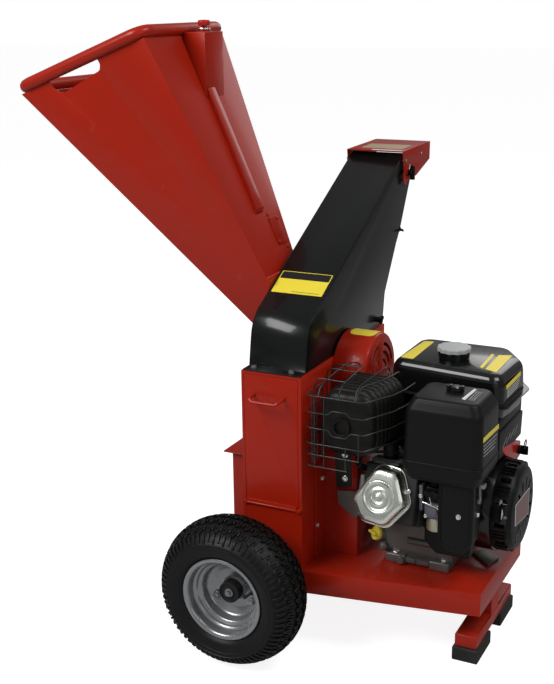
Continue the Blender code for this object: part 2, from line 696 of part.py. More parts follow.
def build_crankcase():
    """The cast case with its feet, side cover, filler neck and tank stays."""
    low = DECK_TOP + GAP
    outline = [(-0.085, 0.190), (0.125, 0.190), (0.125, 0.330), (0.085, 0.395),
               (-0.045, 0.400), (-0.075, 0.370), (-0.085, 0.300)]
    case = prism(rounded(outline, 0.015, 2), "x", CASE_X[0], CASE_X[1] - 0.0015)
    feet = [box((x, x + 0.045), (-0.098, 0.140), (low, low + 0.020), 0.002)
            for x in (CASE_X[0] + 0.004, CASE_X[1] - 0.050)]
    rail = box((CASE_X[0] + 0.006, CASE_X[1] - 0.006), (-0.094, -0.070), (low + 0.004, low + 0.017))
    cover = rod("x", 0.2385, 0.252, SHAFT_Y, CRANK_Z, 0.078, 28)
    boss = rod("x", 0.2300, 0.2410, SHAFT_Y, CRANK_Z, 0.034, 24)
    sump = box((0.2400, 0.2530), (-0.081, 0.095), (low + 0.0125, 0.300), 0.004)
    neck = bar((0.2520, -0.0600, 0.2230), (0.2320, -0.0876, 0.2354), 0.0140, 16)
    drain = rod("y", -0.100, -0.075, 0.247, low + 0.034, 0.0090, 12)
    stays = [box((x, x + 0.020), (y, y + 0.004), (0.385, 0.4690))
             for x in (0.262, 0.360) for y in (0.010, 0.078)]
    shelf = box((0.258, 0.384), (0.008, 0.084), (0.4670, 0.4700))
    join(case, *feet, rail, cover, boss, sump, neck, drain, *stays, shelf)
    for i in range(6):
        angle = math.radians(60 * i + 17)
        turn = Matrix.Translation((0, SHAFT_Y, CRANK_Z)) @ Matrix.Rotation(angle, 4, "X")
        join(case, transform(box((0.2350, 0.2395), (-0.0025, 0.0025), (0.030, 0.074)), turn))
    bore = rod("x", 0.20, 0.45, SHAFT_Y, CRANK_Z, SHAFT_RADIUS + 0.0009, 20)
    cylinder_seat = transform(box((CYLINDER_X[0] - 0.010, CYLINDER_X[1] + 0.010), (-0.070, 0.070),
                                  (0.0750, 0.20)), cylinder_frame())
    part(cut(case, bore, cylinder_seat), "crankcase", ALLOY)


def build_crank():
    """The crankshaft through the case and the finned flywheel behind the fan shroud."""
    pivot = (0.0, SHAFT_Y, CRANK_Z)
    shaft = rod("x", 0.1465, 0.474, SHAFT_Y, CRANK_Z, SHAFT_RADIUS, 20)
    part(shaft, "crankshaft", STEEL, pivot, smooth=35)
    wheel = rod("x", 0.4140, 0.4260, SHAFT_Y, CRANK_Z, 0.088, 32)
    hub = rod("x", 0.4250, 0.4600, SHAFT_Y, CRANK_Z, 0.032, 20)
    blades = []
    for i in range(12):
        turn = Matrix.Translation(pivot) @ Matrix.Rotation(math.radians(30 * i), 4, "X")
        blades.append(transform(box((0.4250, 0.4480), (-0.0015, 0.0015), (0.052, 0.086)), turn))
    join(wheel, hub, *blades)
    bore = rod("x", 0.40, 0.48, SHAFT_Y, CRANK_Z, SHAFT_RADIUS + GAP, 20)
    part(cut(wheel, bore), "flywheel", "grey_steel", pivot)


def build_cylinder():
    """The finned cylinder and head, leaning forward out of the case."""
    x0, x1 = CYLINDER_X
    block = box((x0, x1), (-0.055, 0.055), (0.0753, 0.1900), 0.004)
    fins = [box((x0 - 0.008, x1 + 0.008), (-0.064, 0.064), (u, u + 0.003))
            for u in [0.088 + 0.0125 * i for i in range(6)]]
    head = box((x0 - 0.006, x1 + 0.006), (-0.060, 0.060), (0.163, COVER_U[0] - GAP), 0.003)
    lug = box((x0 - 0.020, x0 + 0.010), (-0.018, 0.014), (0.168, 0.186), 0.003)
    join(block, *fins, head, lug)
    part(transform(block, cylinder_frame()), "cylinder", "fin_alloy")


def build_valve_cover():
    """The pressed rocker cover: six sided, domed, with a raised ring."""
    middle = (0.2775, -0.010)
    corners = [(-0.0635, -0.013), (-0.0395, -0.056), (0.0165, -0.062), (0.0600, -0.008),
               (0.0355, 0.057), (-0.0145, 0.064)]
    levels = ((COVER_U[0], 1.00), (0.1960, 1.00), (0.1962, 0.93), (0.2150, 0.90),
              (0.2240, 0.82), (0.2290, 0.66))
    rings = []
    for u, scale in levels:
        outline = rounded([(x * scale, w * scale) for x, w in corners], 0.022 * scale, 3)
        rings.append([(middle[0] + x, middle[1] + w, u) for x, w in outline])
    cover = loft(rings)
    ring = turned([(0.2270, 0.024), (0.2305, 0.025), (0.2320, 0.028), (0.2305, 0.031),
                   (0.2270, 0.032)], "z", middle[0], middle[1], 32)
    nut = rod("z", 0.2270, 0.2350, middle[0], middle[1], 0.0080, 12)
    join(cover, ring, nut)
    part(transform(cover, cylinder_frame()), "valve_cover", STEEL, smooth=40)


def build_shroud():
    """The fan shroud: a round drum over the flywheel that reaches over the cylinder."""
    start, end = SHROUD_X
    drum = rod("x", start, end, SHAFT_Y, CRANK_Z, SHROUD_RADIUS, 36)
    duct = prism([(-0.095, 0.330), (-0.060, 0.425), (0.060, 0.452), (0.115, 0.400),
                  (0.100, 0.300), (-0.050, 0.280)], "x", start + 0.001, end - 0.020, 0.006)
    join(drum, duct)
    hollow = rod("x", start + 0.004, end + 0.01, SHAFT_Y, CRANK_Z, SHROUD_RADIUS - 0.006, 36)
    bore = rod("x", start - 0.01, start + 0.02, SHAFT_Y, CRANK_Z, 0.030, 24)
    part(cut(drum, hollow, bore), "fan_shroud", PLASTIC, smooth=35)


def build_recoil():
    """The starter cover with cooling slots, and its grip on a pull cord."""
    start = SHROUD_X[1] + GAP
    end = RECOIL_END
    r = RECOIL_RADIUS
    wall = 0.003
    outer = [(start, r - wall), (start, r), (0.5020, r - 0.002), (0.5140, r - 0.008),
             (0.5210, r - 0.018), (end, r - 0.030), (end, 0.0)]
    inner = [(end - wall, 0.0), (end - wall, r - 0.031), (0.5185, r - 0.021),
             (0.5120, r - 0.012), (0.5010, r - 0.006)]
    cover = turned(outer + inner, "x", SHAFT_Y, CRANK_Z, 30)
    slots = []
    for i in range(12):
        angle = math.radians(30 * i + 5)
        turn = Matrix.Translation((0, SHAFT_Y, CRANK_Z)) @ Matrix.Rotation(angle, 4, "X")
        slots.append(transform(box((0.4860, 0.5080), (-0.0060, 0.0060), (0.085, 0.110)), turn))
    for i in range(12):
        angle = math.radians(30 * i + 15)
        turn = Matrix.Translation((0, SHAFT_Y, CRANK_Z)) @ Matrix.Rotation(angle, 4, "X")
        slots.append(transform(box((end - 0.012, end + 0.01), (-0.0040, 0.0040), (0.042, 0.066)), turn))
    rope_hole = rod("y", SHAFT_Y + 0.07, SHAFT_Y + 0.12, 0.4930, CRANK_Z + 0.020, 0.0035, 12)
    part(cut(cover, rope_hole, *slots), "recoil_cover", PLASTIC, smooth=35)
    grip_y = SHAFT_Y + RECOIL_RADIUS + 0.0025
    grip = box((0.4860, 0.5000), (grip_y, grip_y + 0.020), (CRANK_Z - 0.012, CRANK_Z + 0.052), 0.004, 2)
    rope = rod("y", SHAFT_Y - 0.060, grip_y + 0.005, 0.4930, CRANK_Z + 0.020, 0.0022, 8)
    part(join(grip, rope), "starter_grip", PLASTIC, (0.4930, grip_y, CRANK_Z + 0.020), smooth=40)


# Engine covers, tank and exhaust

def ring_at(outline, z, scale, middle):
    """A level ring of a tapered cover: an outline scaled about its middle."""
    return [(middle[0] + (x - middle[0]) * scale, middle[1] + (y - middle[1]) * scale, z)
            for x, y in outline]


def build_tank():
    """The fuel tank with its pressed seam flange, and the cap on its filler."""
    corners = [(0.232, -0.010), (0.455, -0.040), (0.486, 0.098), (0.432, 0.176), (0.228, 0.174)]
    outline = rounded(corners, 0.030, 3)
    middle = (0.350, 0.075)
    levels = ((0.4705, 0.80), (0.4850, 0.98), (0.5560, 1.06), (0.5665, 1.07), (0.5670, 1.18),
              (0.5710, 1.18), (0.5715, 1.07), (0.5950, 1.04), (0.6090, 0.99), (TANK_TOP, 0.91))
    tank = loft([ring_at(outline, z, scale, middle) for z, scale in levels])
    cap_x, cap_y = 0.348, 0.050
    neck = rod("z", 0.610, 0.6230, cap_x, cap_y, 0.026, 24)
    join(tank, neck)
    part(tank, "fuel_tank", PLASTIC, smooth=40)
    skirt = [(0.6180, 0.0285), (0.6180, 0.0320), (0.6330, 0.0335), (0.6385, 0.0320),
             (0.6410, 0.0250), (0.6410, 0.0), (0.6240, 0.0), (0.6240, 0.0285)]
    cap = turned(skirt, "z", cap_x, cap_y, 24)
    ribs = []
    for i in range(8):
        turn = Matrix.Translation((cap_x, cap_y, 0)) @ Matrix.Rotation(math.radians(45 * i), 4, "Z")
        ribs.append(transform(box((0.031, 0.0350), (-0.0045, 0.0045), (0.6195, 0.6360)), turn))
    part(join(cap, *ribs), "fuel_cap", STEEL, (cap_x, cap_y, 0.6180), smooth=35)


def build_air_cleaner():
    """The air cleaner: a tall cover with chamfered shoulders on its base and leg."""
    outline = rounded(rectangle(CLEANER_X, CLEANER_Y), 0.022, 4)
    middle = ((CLEANER_X[0] + CLEANER_X[1]) / 2, (CLEANER_Y[0] + CLEANER_Y[1]) / 2)
    levels = ((CLEANER_SEAM, 1.02), (CLEANER_SEAM + 0.004, 1.02), (CLEANER_SEAM + 0.0042, 1.00),
              (0.568, 0.965), (0.578, 0.93), (0.596, 0.74), (CLEANER_TOP, 0.68))
    cover = loft([ring_at(outline, z, scale, middle) for z, scale in levels])
    hole = rod("z", 0.590, 0.62, *CLEANER_KNOB, 0.0040, 12)
    part(cut(cover, hole), "air_cleaner_cover", PLASTIC, smooth=30)
    knob = rod("z", CLEANER_TOP + GAP, CLEANER_TOP + 0.0125, *CLEANER_KNOB, 0.0125, 16)
    wings = [box((CLEANER_KNOB[0] - 0.0185, CLEANER_KNOB[0] + 0.0185),
                 (CLEANER_KNOB[1] - 0.0040, CLEANER_KNOB[1] + 0.0040),
                 (CLEANER_TOP + 0.001, CLEANER_TOP + 0.0140), 0.001)]
    stem = rod("z", 0.5915, CLEANER_TOP + 0.002, *CLEANER_KNOB, 0.0035, 12)
    part(join(knob, stem, *wings), "cleaner_knob", PLASTIC, (*CLEANER_KNOB, CLEANER_TOP), smooth=40)
    base_levels = ((0.4320, 0.86), (0.4400, 0.94), (0.4550, 1.00), (CLEANER_SEAM - GAP, 1.01))
    base = loft([ring_at(outline, z, scale, middle) for z, scale in base_levels])
    leg_outline = rounded([(0.397, 0.445), (0.397, 0.300), (0.415, 0.273), (0.452, 0.270),
                           (0.472, 0.295), (0.472, 0.445)], 0.012, 2)
    leg = prism(leg_outline, "y", -0.176, -0.128, 0.004, 2)
    leg_rib = prism(rounded([(0.403, 0.440), (0.403, 0.303), (0.418, 0.280), (0.449, 0.277),
                             (0.466, 0.299), (0.466, 0.440)], 0.010, 2), "y", -0.180, -0.170, 0.002)
    part(join(base, leg, leg_rib), "air_cleaner_base", PLASTIC, smooth=35)


def muffler_ring(y, swell):
    """A rounded section across the muffler, a little wider towards the back."""
    back = (y - MUFFLER_Y[0]) / (MUFFLER_Y[1] - MUFFLER_Y[0])
    right = MUFFLER_X[1] + 0.016 * back
    x = (MUFFLER_X[0] + 0.004 - swell, right - 0.004 + swell)
    z = (MUFFLER_Z[0] + 0.004 - swell, MUFFLER_Z[1] - 0.004 + swell)
    return [(a, y, b) for a, b in rounded(rectangle(x, z), 0.034, 3)]


def build_muffler():
    """The ribbed silencer box with its outlet and its pipe down to the head."""
    start, end = MUFFLER_Y
    ribs = 7
    pitch = (end - start - 0.016) / ribs
    rings = [muffler_ring(start, -0.008), muffler_ring(start + 0.003, 0.0)]
    for i in range(ribs):
        near = start + 0.008 + pitch * i
        rings.append(muffler_ring(near, 0.0))
        rings.append(muffler_ring(near + pitch * 0.5, 0.0038))
    rings.append(muffler_ring(end - 0.008, 0.0))
    rings.append(muffler_ring(end, -0.008))
    body = loft(rings)
    x, z = MUFFLER_PORT
    collar = rod("y", start - 0.008, start + 0.010, x, z, 0.0205, 24)
    join(body, collar)
    port = rod("y", start - 0.02, start + 0.030, x, z, 0.0150, 24)
    pipe = rod("z", 0.4225, 0.4600, 0.268, -0.112, 0.0160, 16)
    part(cut(join(body, pipe), port), "muffler", BLACK, smooth=40)


def guard_rail(z, front_end, bump):
    """One wire of the guard: along the left side, across the front, round the right."""
    left, front = 0.1260, -0.2350
    points = [(left, -0.105, z), (left, front + 0.010, z), (left + 0.003, front + 0.003, z),
              (left + 0.010, front, z)]
    if bump:
        points += [(0.176, front, z), (0.186, front, z + bump), (0.216, front, z + bump),
                   (0.227, front, z)]
    if front_end:
        return points + [(front_end, front, z)]
    return points + [(0.248, front, z), (0.257, front + 0.004, z), (0.272, front + 0.035, z),
                     (0.290, -0.165, z), (0.300, -0.120, z), (0.303, -0.070, z)]


def build_muffler_guard():
    """The wire basket round the silencer: rails, uprights, top wires and three feet."""
    rails = [(0.5880, None, 0.0), (0.5520, None, 0.009), (0.5180, None, -0.012),
             (0.4840, None, 0.0), (0.4600, 0.246, 0.0), (0.4340, 0.218, 0.0)]
    r = WIRE_RADIUS
    guard = wire(guard_rail(*rails[0]), r)
    pieces = [wire(guard_rail(*rail), r) for rail in rails[1:]]
    inset = 2 * r - 0.0005
    left, front = 0.1260 + inset, -0.2350 + inset
    top = 0.5880 - inset
    for y in (-0.210, -0.185, -0.160, -0.135, -0.112):
        pieces.append(wire([(left, y, 0.432), (left, y, 0.5895)], r))
    for x in (0.145, 0.166):
        pieces.append(wire([(x, front, 0.432), (x, front, 0.5895)], r))
    pieces.append(wire([(0.214, front, 0.432), (0.214, front, 0.4860)], r))
    pieces.append(wire([(0.243, front, 0.4585), (0.243, front, 0.5200)], r))
    for x in (0.160, 0.200, 0.240):
        pieces.append(wire([(x, -0.2360, top), (x, -0.088, top)], r))
    for y, right in ((-0.200, 0.2745), (-0.165, 0.2912), (-0.130, 0.2990), (-0.095, 0.3030)):
        pieces.append(wire([(0.1255, y, top - inset), (right, y, top - inset),
                            (right + 0.0020, y, 0.5885)], r))
    for z in (0.4840, 0.5520):
        pieces.append(wire([(0.124, -0.1075, z - inset), (0.1340, -0.1075, z - inset)], r))
    pieces.append(box((0.196, 0.204), (-0.152, -0.144), (0.5785, top + 0.001)))
    join(guard, *pieces)
    part(guard, "muffler_guard", BLACK)


def build_carburettor():
    """The carburettor: throat body, float bowl and the elbow up to the air cleaner."""
    body = box((0.3520, 0.3920), (-0.150, -0.092), (0.345, 0.395), 0.004, 1)
    bowl = rod("z", 0.312, 0.350, 0.372, -0.125, 0.0200, 20)
    drain = rod("z", 0.304, 0.314, 0.372, -0.125, 0.0060, 10)
    elbow = rod("z", 0.390, 0.4315, 0.374, -0.120, 0.0180, 20)
    flange = box((0.3465, 0.3550), (-0.152, -0.090), (0.340, 0.400), 0.002)
    part(join(body, bowl, drain, elbow, flange), "carburettor", ALLOY, smooth=35)


def build_levers():
    """Choke lever on the carburettor and throttle lever on the control plate."""
    choke_pivot = (0.364, -0.1503, 0.383)
    hub = rod("y", choke_pivot[1] - 0.006, choke_pivot[1] - GAP, choke_pivot[0], choke_pivot[2], 0.006, 12)
    arm = box((0.362, 0.389), (-0.1560, -0.1535), (0.3790, 0.3870), 0.0008)
    tab = box((0.382, 0.393), (-0.1640, -0.1535), (0.3770, 0.3890), 0.001)
    part(join(hub, arm, tab), "choke_lever", PLASTIC, choke_pivot, smooth=40)
    pivot = (0.4775, -0.152, 0.385)
    hub = rod("x", 0.4723, 0.4790, pivot[1], pivot[2], 0.0070, 12)
    arm = box((0.4755, 0.4785), (-0.156, -0.148), (0.385, 0.4230), 0.0008)
    tab = box((0.4755, 0.4880), (-0.158, -0.146), (0.4140, 0.4240), 0.001)
    part(join(hub, arm, tab), "throttle_lever", "grey_steel", pivot, smooth=40)


def build_dipstick():
    """The yellow oil filler cap with a grip bar, screwed into its sloping neck."""
    out = Vector((-0.55, -0.76, 0.34)).normalized()
    seat = Vector((0.2320, -0.0876, 0.2354)) + out * GAP
    cap = bar(seat, seat + out * 0.008, 0.0155, 16)
    grip = box((-0.013, 0.013), (-0.003, 0.003), (0.006, 0.019), 0.001)
    turn = out.to_track_quat("Z", "Y").to_matrix().to_4x4()
    transform(grip, Matrix.Translation(seat) @ turn)
    part(join(cap, grip), "dipstick", "yellow_plastic", seat, smooth=40)


def build_electrics():
    """The red key switch box, its key, and the starter motor on the far side."""
    switch = box((0.4560, 0.4840), (0.072, 0.128), (0.380, 0.426), 0.004, 2)
    drum = rod("x", 0.44, 0.52, SHAFT_Y, CRANK_Z, SHROUD_RADIUS + GAP, 48)
    duct = prism([(-0.095, 0.330), (-0.060, 0.425), (0.060, 0.453), (0.116, 0.4005),
                  (0.100, 0.300), (-0.050, 0.280)], "x", 0.440, SHROUD_X[1] - 0.020 + GAP)
    part(cut(switch, drum, duct), "key_switch", "red_plastic")
    y, z = 0.108, 0.405
    barrel = rod("x", 0.4840 + GAP, 0.4900, y, z, 0.0100, 16)
    bow = box((0.4890, 0.5080), (y - 0.0025, y + 0.0025), (z - 0.0110, z + 0.0110), 0.001)
    part(join(barrel, bow), "ignition_key", PLASTIC, (0.4840, y, z), smooth=40)
    my, mz = 0.1620, 0.285
    motor = turned([(0.300, 0.0), (0.300, 0.020), (0.304, 0.031), (0.392, 0.031), (0.392, 0.036),
                    (0.402, 0.036), (0.402, 0.0)], "x", my, mz, 24, closed=False)
    solenoid = rod("x", 0.325, 0.385, my + 0.012, mz + 0.045, 0.018, 16)
    bridge = box((0.340, 0.372), (my + 0.002, my + 0.022), (mz + 0.020, mz + 0.040))
    foot = box((0.345, 0.395), (0.1253, 0.150), (mz - 0.020, mz + 0.020))
    part(join(motor, bridge, solenoid, foot), "starter_motor", BLACK, smooth=35)


# Hopper and its fittings

def mouth_normal():
    """The direction that the hopper's mouth faces."""
    run = Vector(MOUTH_HIGH) - Vector(MOUTH_LOW)
    return Vector((-run.z, 0.0, run.x)).normalized()


def top_face_point(s, h):
    """A point s down the hopper's upper face from the mouth and h above it, as (x, z)."""
    down = (Vector(NECK_HIGH) - Vector(MOUTH_HIGH))
    down = Vector((down.x, down.z)).normalized()
    out = Vector((-down.y, down.x))
    place = Vector((MOUTH_HIGH[0], MOUTH_HIGH[2])) + down * s + out * h
    return tuple(place)


def build_hopper():
    """Four flat walls from the wide mouth to the neck, with hand slots and a flange."""
    def corner(point, side):
        return (point[0], side * point[1], point[2])

    def inset(point):
        return point[0], point[1] - THIN_SHEET, point[2]

    walls = loft([[corner(MOUTH_LOW, -1), corner(MOUTH_HIGH, -1), corner(MOUTH_HIGH, 1),
                   corner(MOUTH_LOW, 1)],
                  [corner(NECK_LOW, -1), corner(NECK_HIGH, -1), corner(NECK_HIGH, 1),
                   corner(NECK_LOW, 1)]])
    plate = box((NECK_HIGH[0] - 0.0015, CHUTE_X[0] - GAP), (-0.098, 0.098), (0.6215, 0.790))
    join(walls, plate)
    # The inner space: each mouth and neck edge drawn in by the sheet, run past both ends
    low, high = Vector(inset(MOUTH_LOW)), Vector(inset(MOUTH_HIGH))
    neck_low, neck_high = Vector(inset(NECK_LOW)), Vector(inset(NECK_HIGH))
    low += Vector((0.0030, 0.0, 0.0012))
    high += Vector((-0.0028, 0.0, -0.0010))
    neck_low.z += 0.0042
    neck_high.z -= 0.0060
    low, neck_low = low + (low - neck_low) * 0.05, neck_low + (neck_low - low) * 0.03
    high, neck_high = high + (high - neck_high) * 0.05, neck_high + (neck_high - high) * 0.03
    inside = loft([[corner(low, -1), corner(high, -1), corner(high, 1), corner(low, 1)],
                   [corner(neck_low, -1), corner(neck_high, -1), corner(neck_high, 1),
                    corner(neck_low, 1)]])
    slot = rounded([(-0.527, 1.207), (-0.397, 1.256), (-0.388, 1.238), (-0.391, 1.225),
                    (-0.491, 1.175), (-0.517, 1.186)], 0.008, 2)
    hand_slots = prism(slot, "y", -0.25, 0.25)
    part(cut(walls, inside, hand_slots), "hopper", RED)


def build_hopper_rim():
    """The round tube that runs all round the mouth."""
    offset = mouth_normal() * (RIM_TUBE_RADIUS + GAP)
    run = Vector(MOUTH_HIGH) - Vector(MOUTH_LOW)
    width = Vector((run.x, run.z)).length
    flat = rounded([(0.0, -MOUTH_LOW[1]), (width, -MOUTH_LOW[1]), (width, MOUTH_LOW[1]),
                    (0.0, MOUTH_LOW[1])], RIM_CORNER, 5)
    along_run = Vector((run.x, 0.0, run.z)).normalized()
    start = Vector((MOUTH_LOW[0], 0.0, MOUTH_LOW[2])) + offset
    points = [start + along_run * a + Vector((0.0, b, 0.0)) for a, b in flat]
    part(wire(points, RIM_TUBE_RADIUS, cyclic=True, resolution=3), "hopper_rim", RED, smooth=60)


def build_stop_switch():
    """The wedge shaped switch box on the hopper, its collar and its red button."""
    back = -0.2660
    run = (back - MOUTH_HIGH[0]) / (NECK_HIGH[0] - MOUTH_HIGH[0])
    back_z = MOUTH_HIGH[2] + run * (NECK_HIGH[2] - MOUTH_HIGH[2]) + 0.0008
    foot = (STOP_BOX_FACE - MOUTH_HIGH[0]) / (NECK_HIGH[0] - MOUTH_HIGH[0])
    foot_z = MOUTH_HIGH[2] + foot * (NECK_HIGH[2] - MOUTH_HIGH[2]) + 0.0008
    wedge = prism([(STOP_BOX_FACE, foot_z), (STOP_BOX_FACE, STOP_BOX_TOP), (back, STOP_BOX_TOP),
                   (back, back_z)], "y", *STOP_BOX_Y)
    x, y = STOP_BUTTON
    collar = turned([(STOP_BOX_TOP - 0.001, 0.0), (STOP_BOX_TOP - 0.001, 0.0165),
                     (STOP_BOX_TOP + 0.002, 0.0165), (STOP_BOX_TOP + 0.003, 0.0125),
                     (STOP_BOX_TOP + 0.008, 0.0120), (STOP_BOX_TOP + 0.008, 0.0)],
                    "z", x, y, 24, closed=False)
    bore = rod("z", STOP_BOX_TOP - 0.010, STOP_BOX_TOP + 0.02, x, y, 0.0068, 16)
    part(cut(join(wedge, collar), bore), "stop_box", RED)
    base = STOP_BOX_TOP
    cap = turned([(base - 0.003, 0.0), (base - 0.003, 0.0060), (base + 0.0130, 0.0060),
                  (base + 0.0130, 0.0125), (base + 0.0150, 0.0135), (base + 0.0230, 0.0135),
                  (base + 0.0250, 0.0115), (base + 0.0256, 0.0)], "z", x, y, 24, closed=False)
    part(cap, "stop_button", "red_plastic", (x, y, base), smooth=35)


def build_cable_duct():
    """The folded channel that covers the switch lead down the hopper's upper face."""
    outline = [top_face_point(0.1482, GAP), top_face_point(0.1264, DUCT_HEIGHT),
               top_face_point(DUCT_END - DUCT_HEIGHT, DUCT_HEIGHT),
               top_face_point(DUCT_END, GAP)]
    y0, y1 = DUCT_Y
    duct = prism(outline, "y", y0, y1)
    under = DUCT_HEIGHT - THIN_SHEET
    low = [top_face_point(0.160, -0.002), top_face_point(0.150, under),
           top_face_point(0.412, under), top_face_point(0.412, -0.002)]
    hollow = prism(low, "y", y0 + THIN_SHEET, y1 - THIN_SHEET)
    part(cut(duct, hollow), "cable_duct", RED)


# Chute and hood

def chute_outline(inset):
    """The duct's side view: up from the housing, over the rotor and back."""
    front = [(-0.193 + inset, CHUTE_BOTTOM), (-0.188 + inset, 0.652)]
    bend = arc((-0.110 + inset * 0.8, 0.672 - inset * 0.5), 0.0735, 170, 119, 5)
    tip = [(0.364 + inset * 0.3, 1.0095 - inset * 1.0)]
    back = [(0.415 - inset * 0.6, 0.950 - inset * 0.4), (0.404 - inset, 0.930),
            (0.346 - inset, 0.827), (0.324 - inset, 0.800), (0.252 - inset, 0.690),
            (0.240 - inset, CHUTE_BOTTOM)]
    return front + bend + tip + back


def build_chute():
    """The black discharge chute: a rectangular duct with its ledges and pivots."""
    x0, x1 = CHUTE_X
    outer = chute_outline(0.0)
    chute = prism(outer, "x", x0, x1)
    front_ledge = box((x0, x1), (-0.2215, -0.190), (CHUTE_BOTTOM, CHUTE_BOTTOM + SHEET))
    back_ledge = box(CHUTE_FOOT_X, (0.238, CHUTE_FOOT_END), (CHUTE_BOTTOM, CHUTE_BOTTOM + SHEET))
    pins = [rod("x", x0 - 0.0085, x0 + 0.001, *HOOD_PIVOT, 0.0050, 12),
            rod("x", x1 - 0.001, x1 + 0.0085, *HOOD_PIVOT, 0.0050, 12)]
    join(chute, front_ledge, back_ledge, *pins)
    inner = chute_outline(SHEET)
    bottom = [(y, z - 0.02) if z == CHUTE_BOTTOM else (y, z) for y, z in inner]
    tip = bottom.index(inner[7])
    out = Vector((0.060, 0.033))
    bottom[tip] = tuple(Vector(bottom[tip]) + out)
    bottom[tip + 1] = tuple(Vector(bottom[tip + 1]) + out * 0.6)
    hollow = prism(bottom, "x", x0 + SHEET, x1 - SHEET)
    feed = prism([(-0.0500, 0.6262), (0.0500, 0.6262), (0.0700, 0.7570), (-0.0700, 0.7570)],
                 "x", x0 - 0.01, x0 + 0.01)
    stud_hole = rod("z", 0.60, 0.64, *CHUTE_KNOB, 0.0045, 12)
    part(cut(chute, hollow, feed, stud_hole), "chute", BLACK)


def build_hood():
    """The tilting hood: a top plate and two cheeks with arc slots for the knobs."""
    x0, x1 = HOOD_X
    cheek = [(0.343, 1.0155), (0.531, 1.0200), (0.529, 0.977), (0.436, 0.948)]
    cheek += rounded([(0.372, 0.931), (0.350, 0.938), (0.343, 0.975)], 0.006, 2)
    hood = prism(cheek, "x", x0, x1)
    inner = [(0.330, 1.0127), (0.545, 1.0178), (0.545, 0.90), (0.330, 0.90)]
    hollow = prism(inner, "x", x0 + THIN_SHEET, x1 - THIN_SHEET)
    knob = Vector(HOOD_KNOB) - Vector(HOOD_PIVOT)
    reach = knob.length
    angle = math.degrees(math.atan2(knob.y, knob.x))
    slot = arc(HOOD_PIVOT, reach + 0.0040, angle - 27, angle + 32, 8)
    slot += arc(HOOD_PIVOT, reach - 0.0040, angle + 32, angle - 27, 8)
    slots = prism(slot, "x", x0 - 0.01, x1 + 0.01)
    holes = rod("x", x0 - 0.01, x1 + 0.01, *HOOD_PIVOT, 0.0056, 12)
    part(cut(hood, hollow, slots, holes), "hood", RED, (0.0, *HOOD_PIVOT))


def wing_knob(axis, face, side, a, b, stud_end, wing=KNOB_WING):
    """A wing knob: a round boss with two wings, and its stud."""
    def span(first, second):
        return sorted((face + side * first, face + side * second))

    boss = rod(axis, *span(0.0005, 0.010), a, b, 0.0080, 14)
    if axis == "x":
        wings = box(span(0.004, 0.015), (a - 0.0030, a + 0.0030), (b - wing, b + wing), 0.001)
    else:
        wings = box((a - wing, a + wing), (b - 0.0030, b + 0.0030), span(0.004, 0.015), 0.001)
    stud = rod(axis, *sorted((stud_end, face + side * 0.002)), a, b, 0.0030, 10)
    return join(boss, wings, stud)


def build_knobs():
    """The knobs that clamp the hood on both sides and the chute at the back."""
    left = wing_knob("x", HOOD_X[0], -1, *HOOD_KNOB, CHUTE_X[0] - GAP)
    part(left, "hood_knob_left", PLASTIC, (HOOD_X[0], *HOOD_KNOB), smooth=40)
    right = wing_knob("x", HOOD_X[1], 1, *HOOD_KNOB, CHUTE_X[1] + GAP)
    part(right, "hood_knob_right", PLASTIC, (HOOD_X[1], *HOOD_KNOB), smooth=40)
    face = CHUTE_BOTTOM + SHEET
    nut = wing_knob("z", face, 1, *CHUTE_KNOB, HOUSING_TOP + GAP, CHUTE_KNOB_WING)
    part(nut, "chute_knob", PLASTIC, (*CHUTE_KNOB, face), smooth=40)


def build_machine():
    """Build every piece under one empty that centres the machine on the origin."""
    clear_scene()
    machine = bpy.data.objects.new("machine", None)
    bpy.context.scene.collection.objects.link(machine)
    machine.location = -CENTRE
    build_deck()
    build_foot()
    build_axle()
    build_wheel("front", -1)
    build_wheel("back", 1)
    build_housing()
    build_door()
    build_battery_box()
    build_bearings()
    build_rotor()
    build_drive()
    build_anvil()
    build_belt_guard()
    build_cowl()
    build_crankcase()
    build_crank()
    build_cylinder()
    build_valve_cover()
    build_shroud()
    build_recoil()
    build_tank()
    build_air_cleaner()
    build_muffler()
    build_muffler_guard()
    build_carburettor()
    build_levers()
    build_dipstick()
    build_electrics()
    build_hopper()
    build_hopper_rim()
    build_stop_switch()
    build_cable_duct()
    build_chute()
    build_hood()
    build_knobs()


build_machine()
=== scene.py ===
"""The petrol wood chipper's looks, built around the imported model.

Places are in metres from the ground under the middle of the axle, as in the part's
own source: +X runs from the axle towards the foot, -Y is the side with the rotor
door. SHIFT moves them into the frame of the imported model.
"""

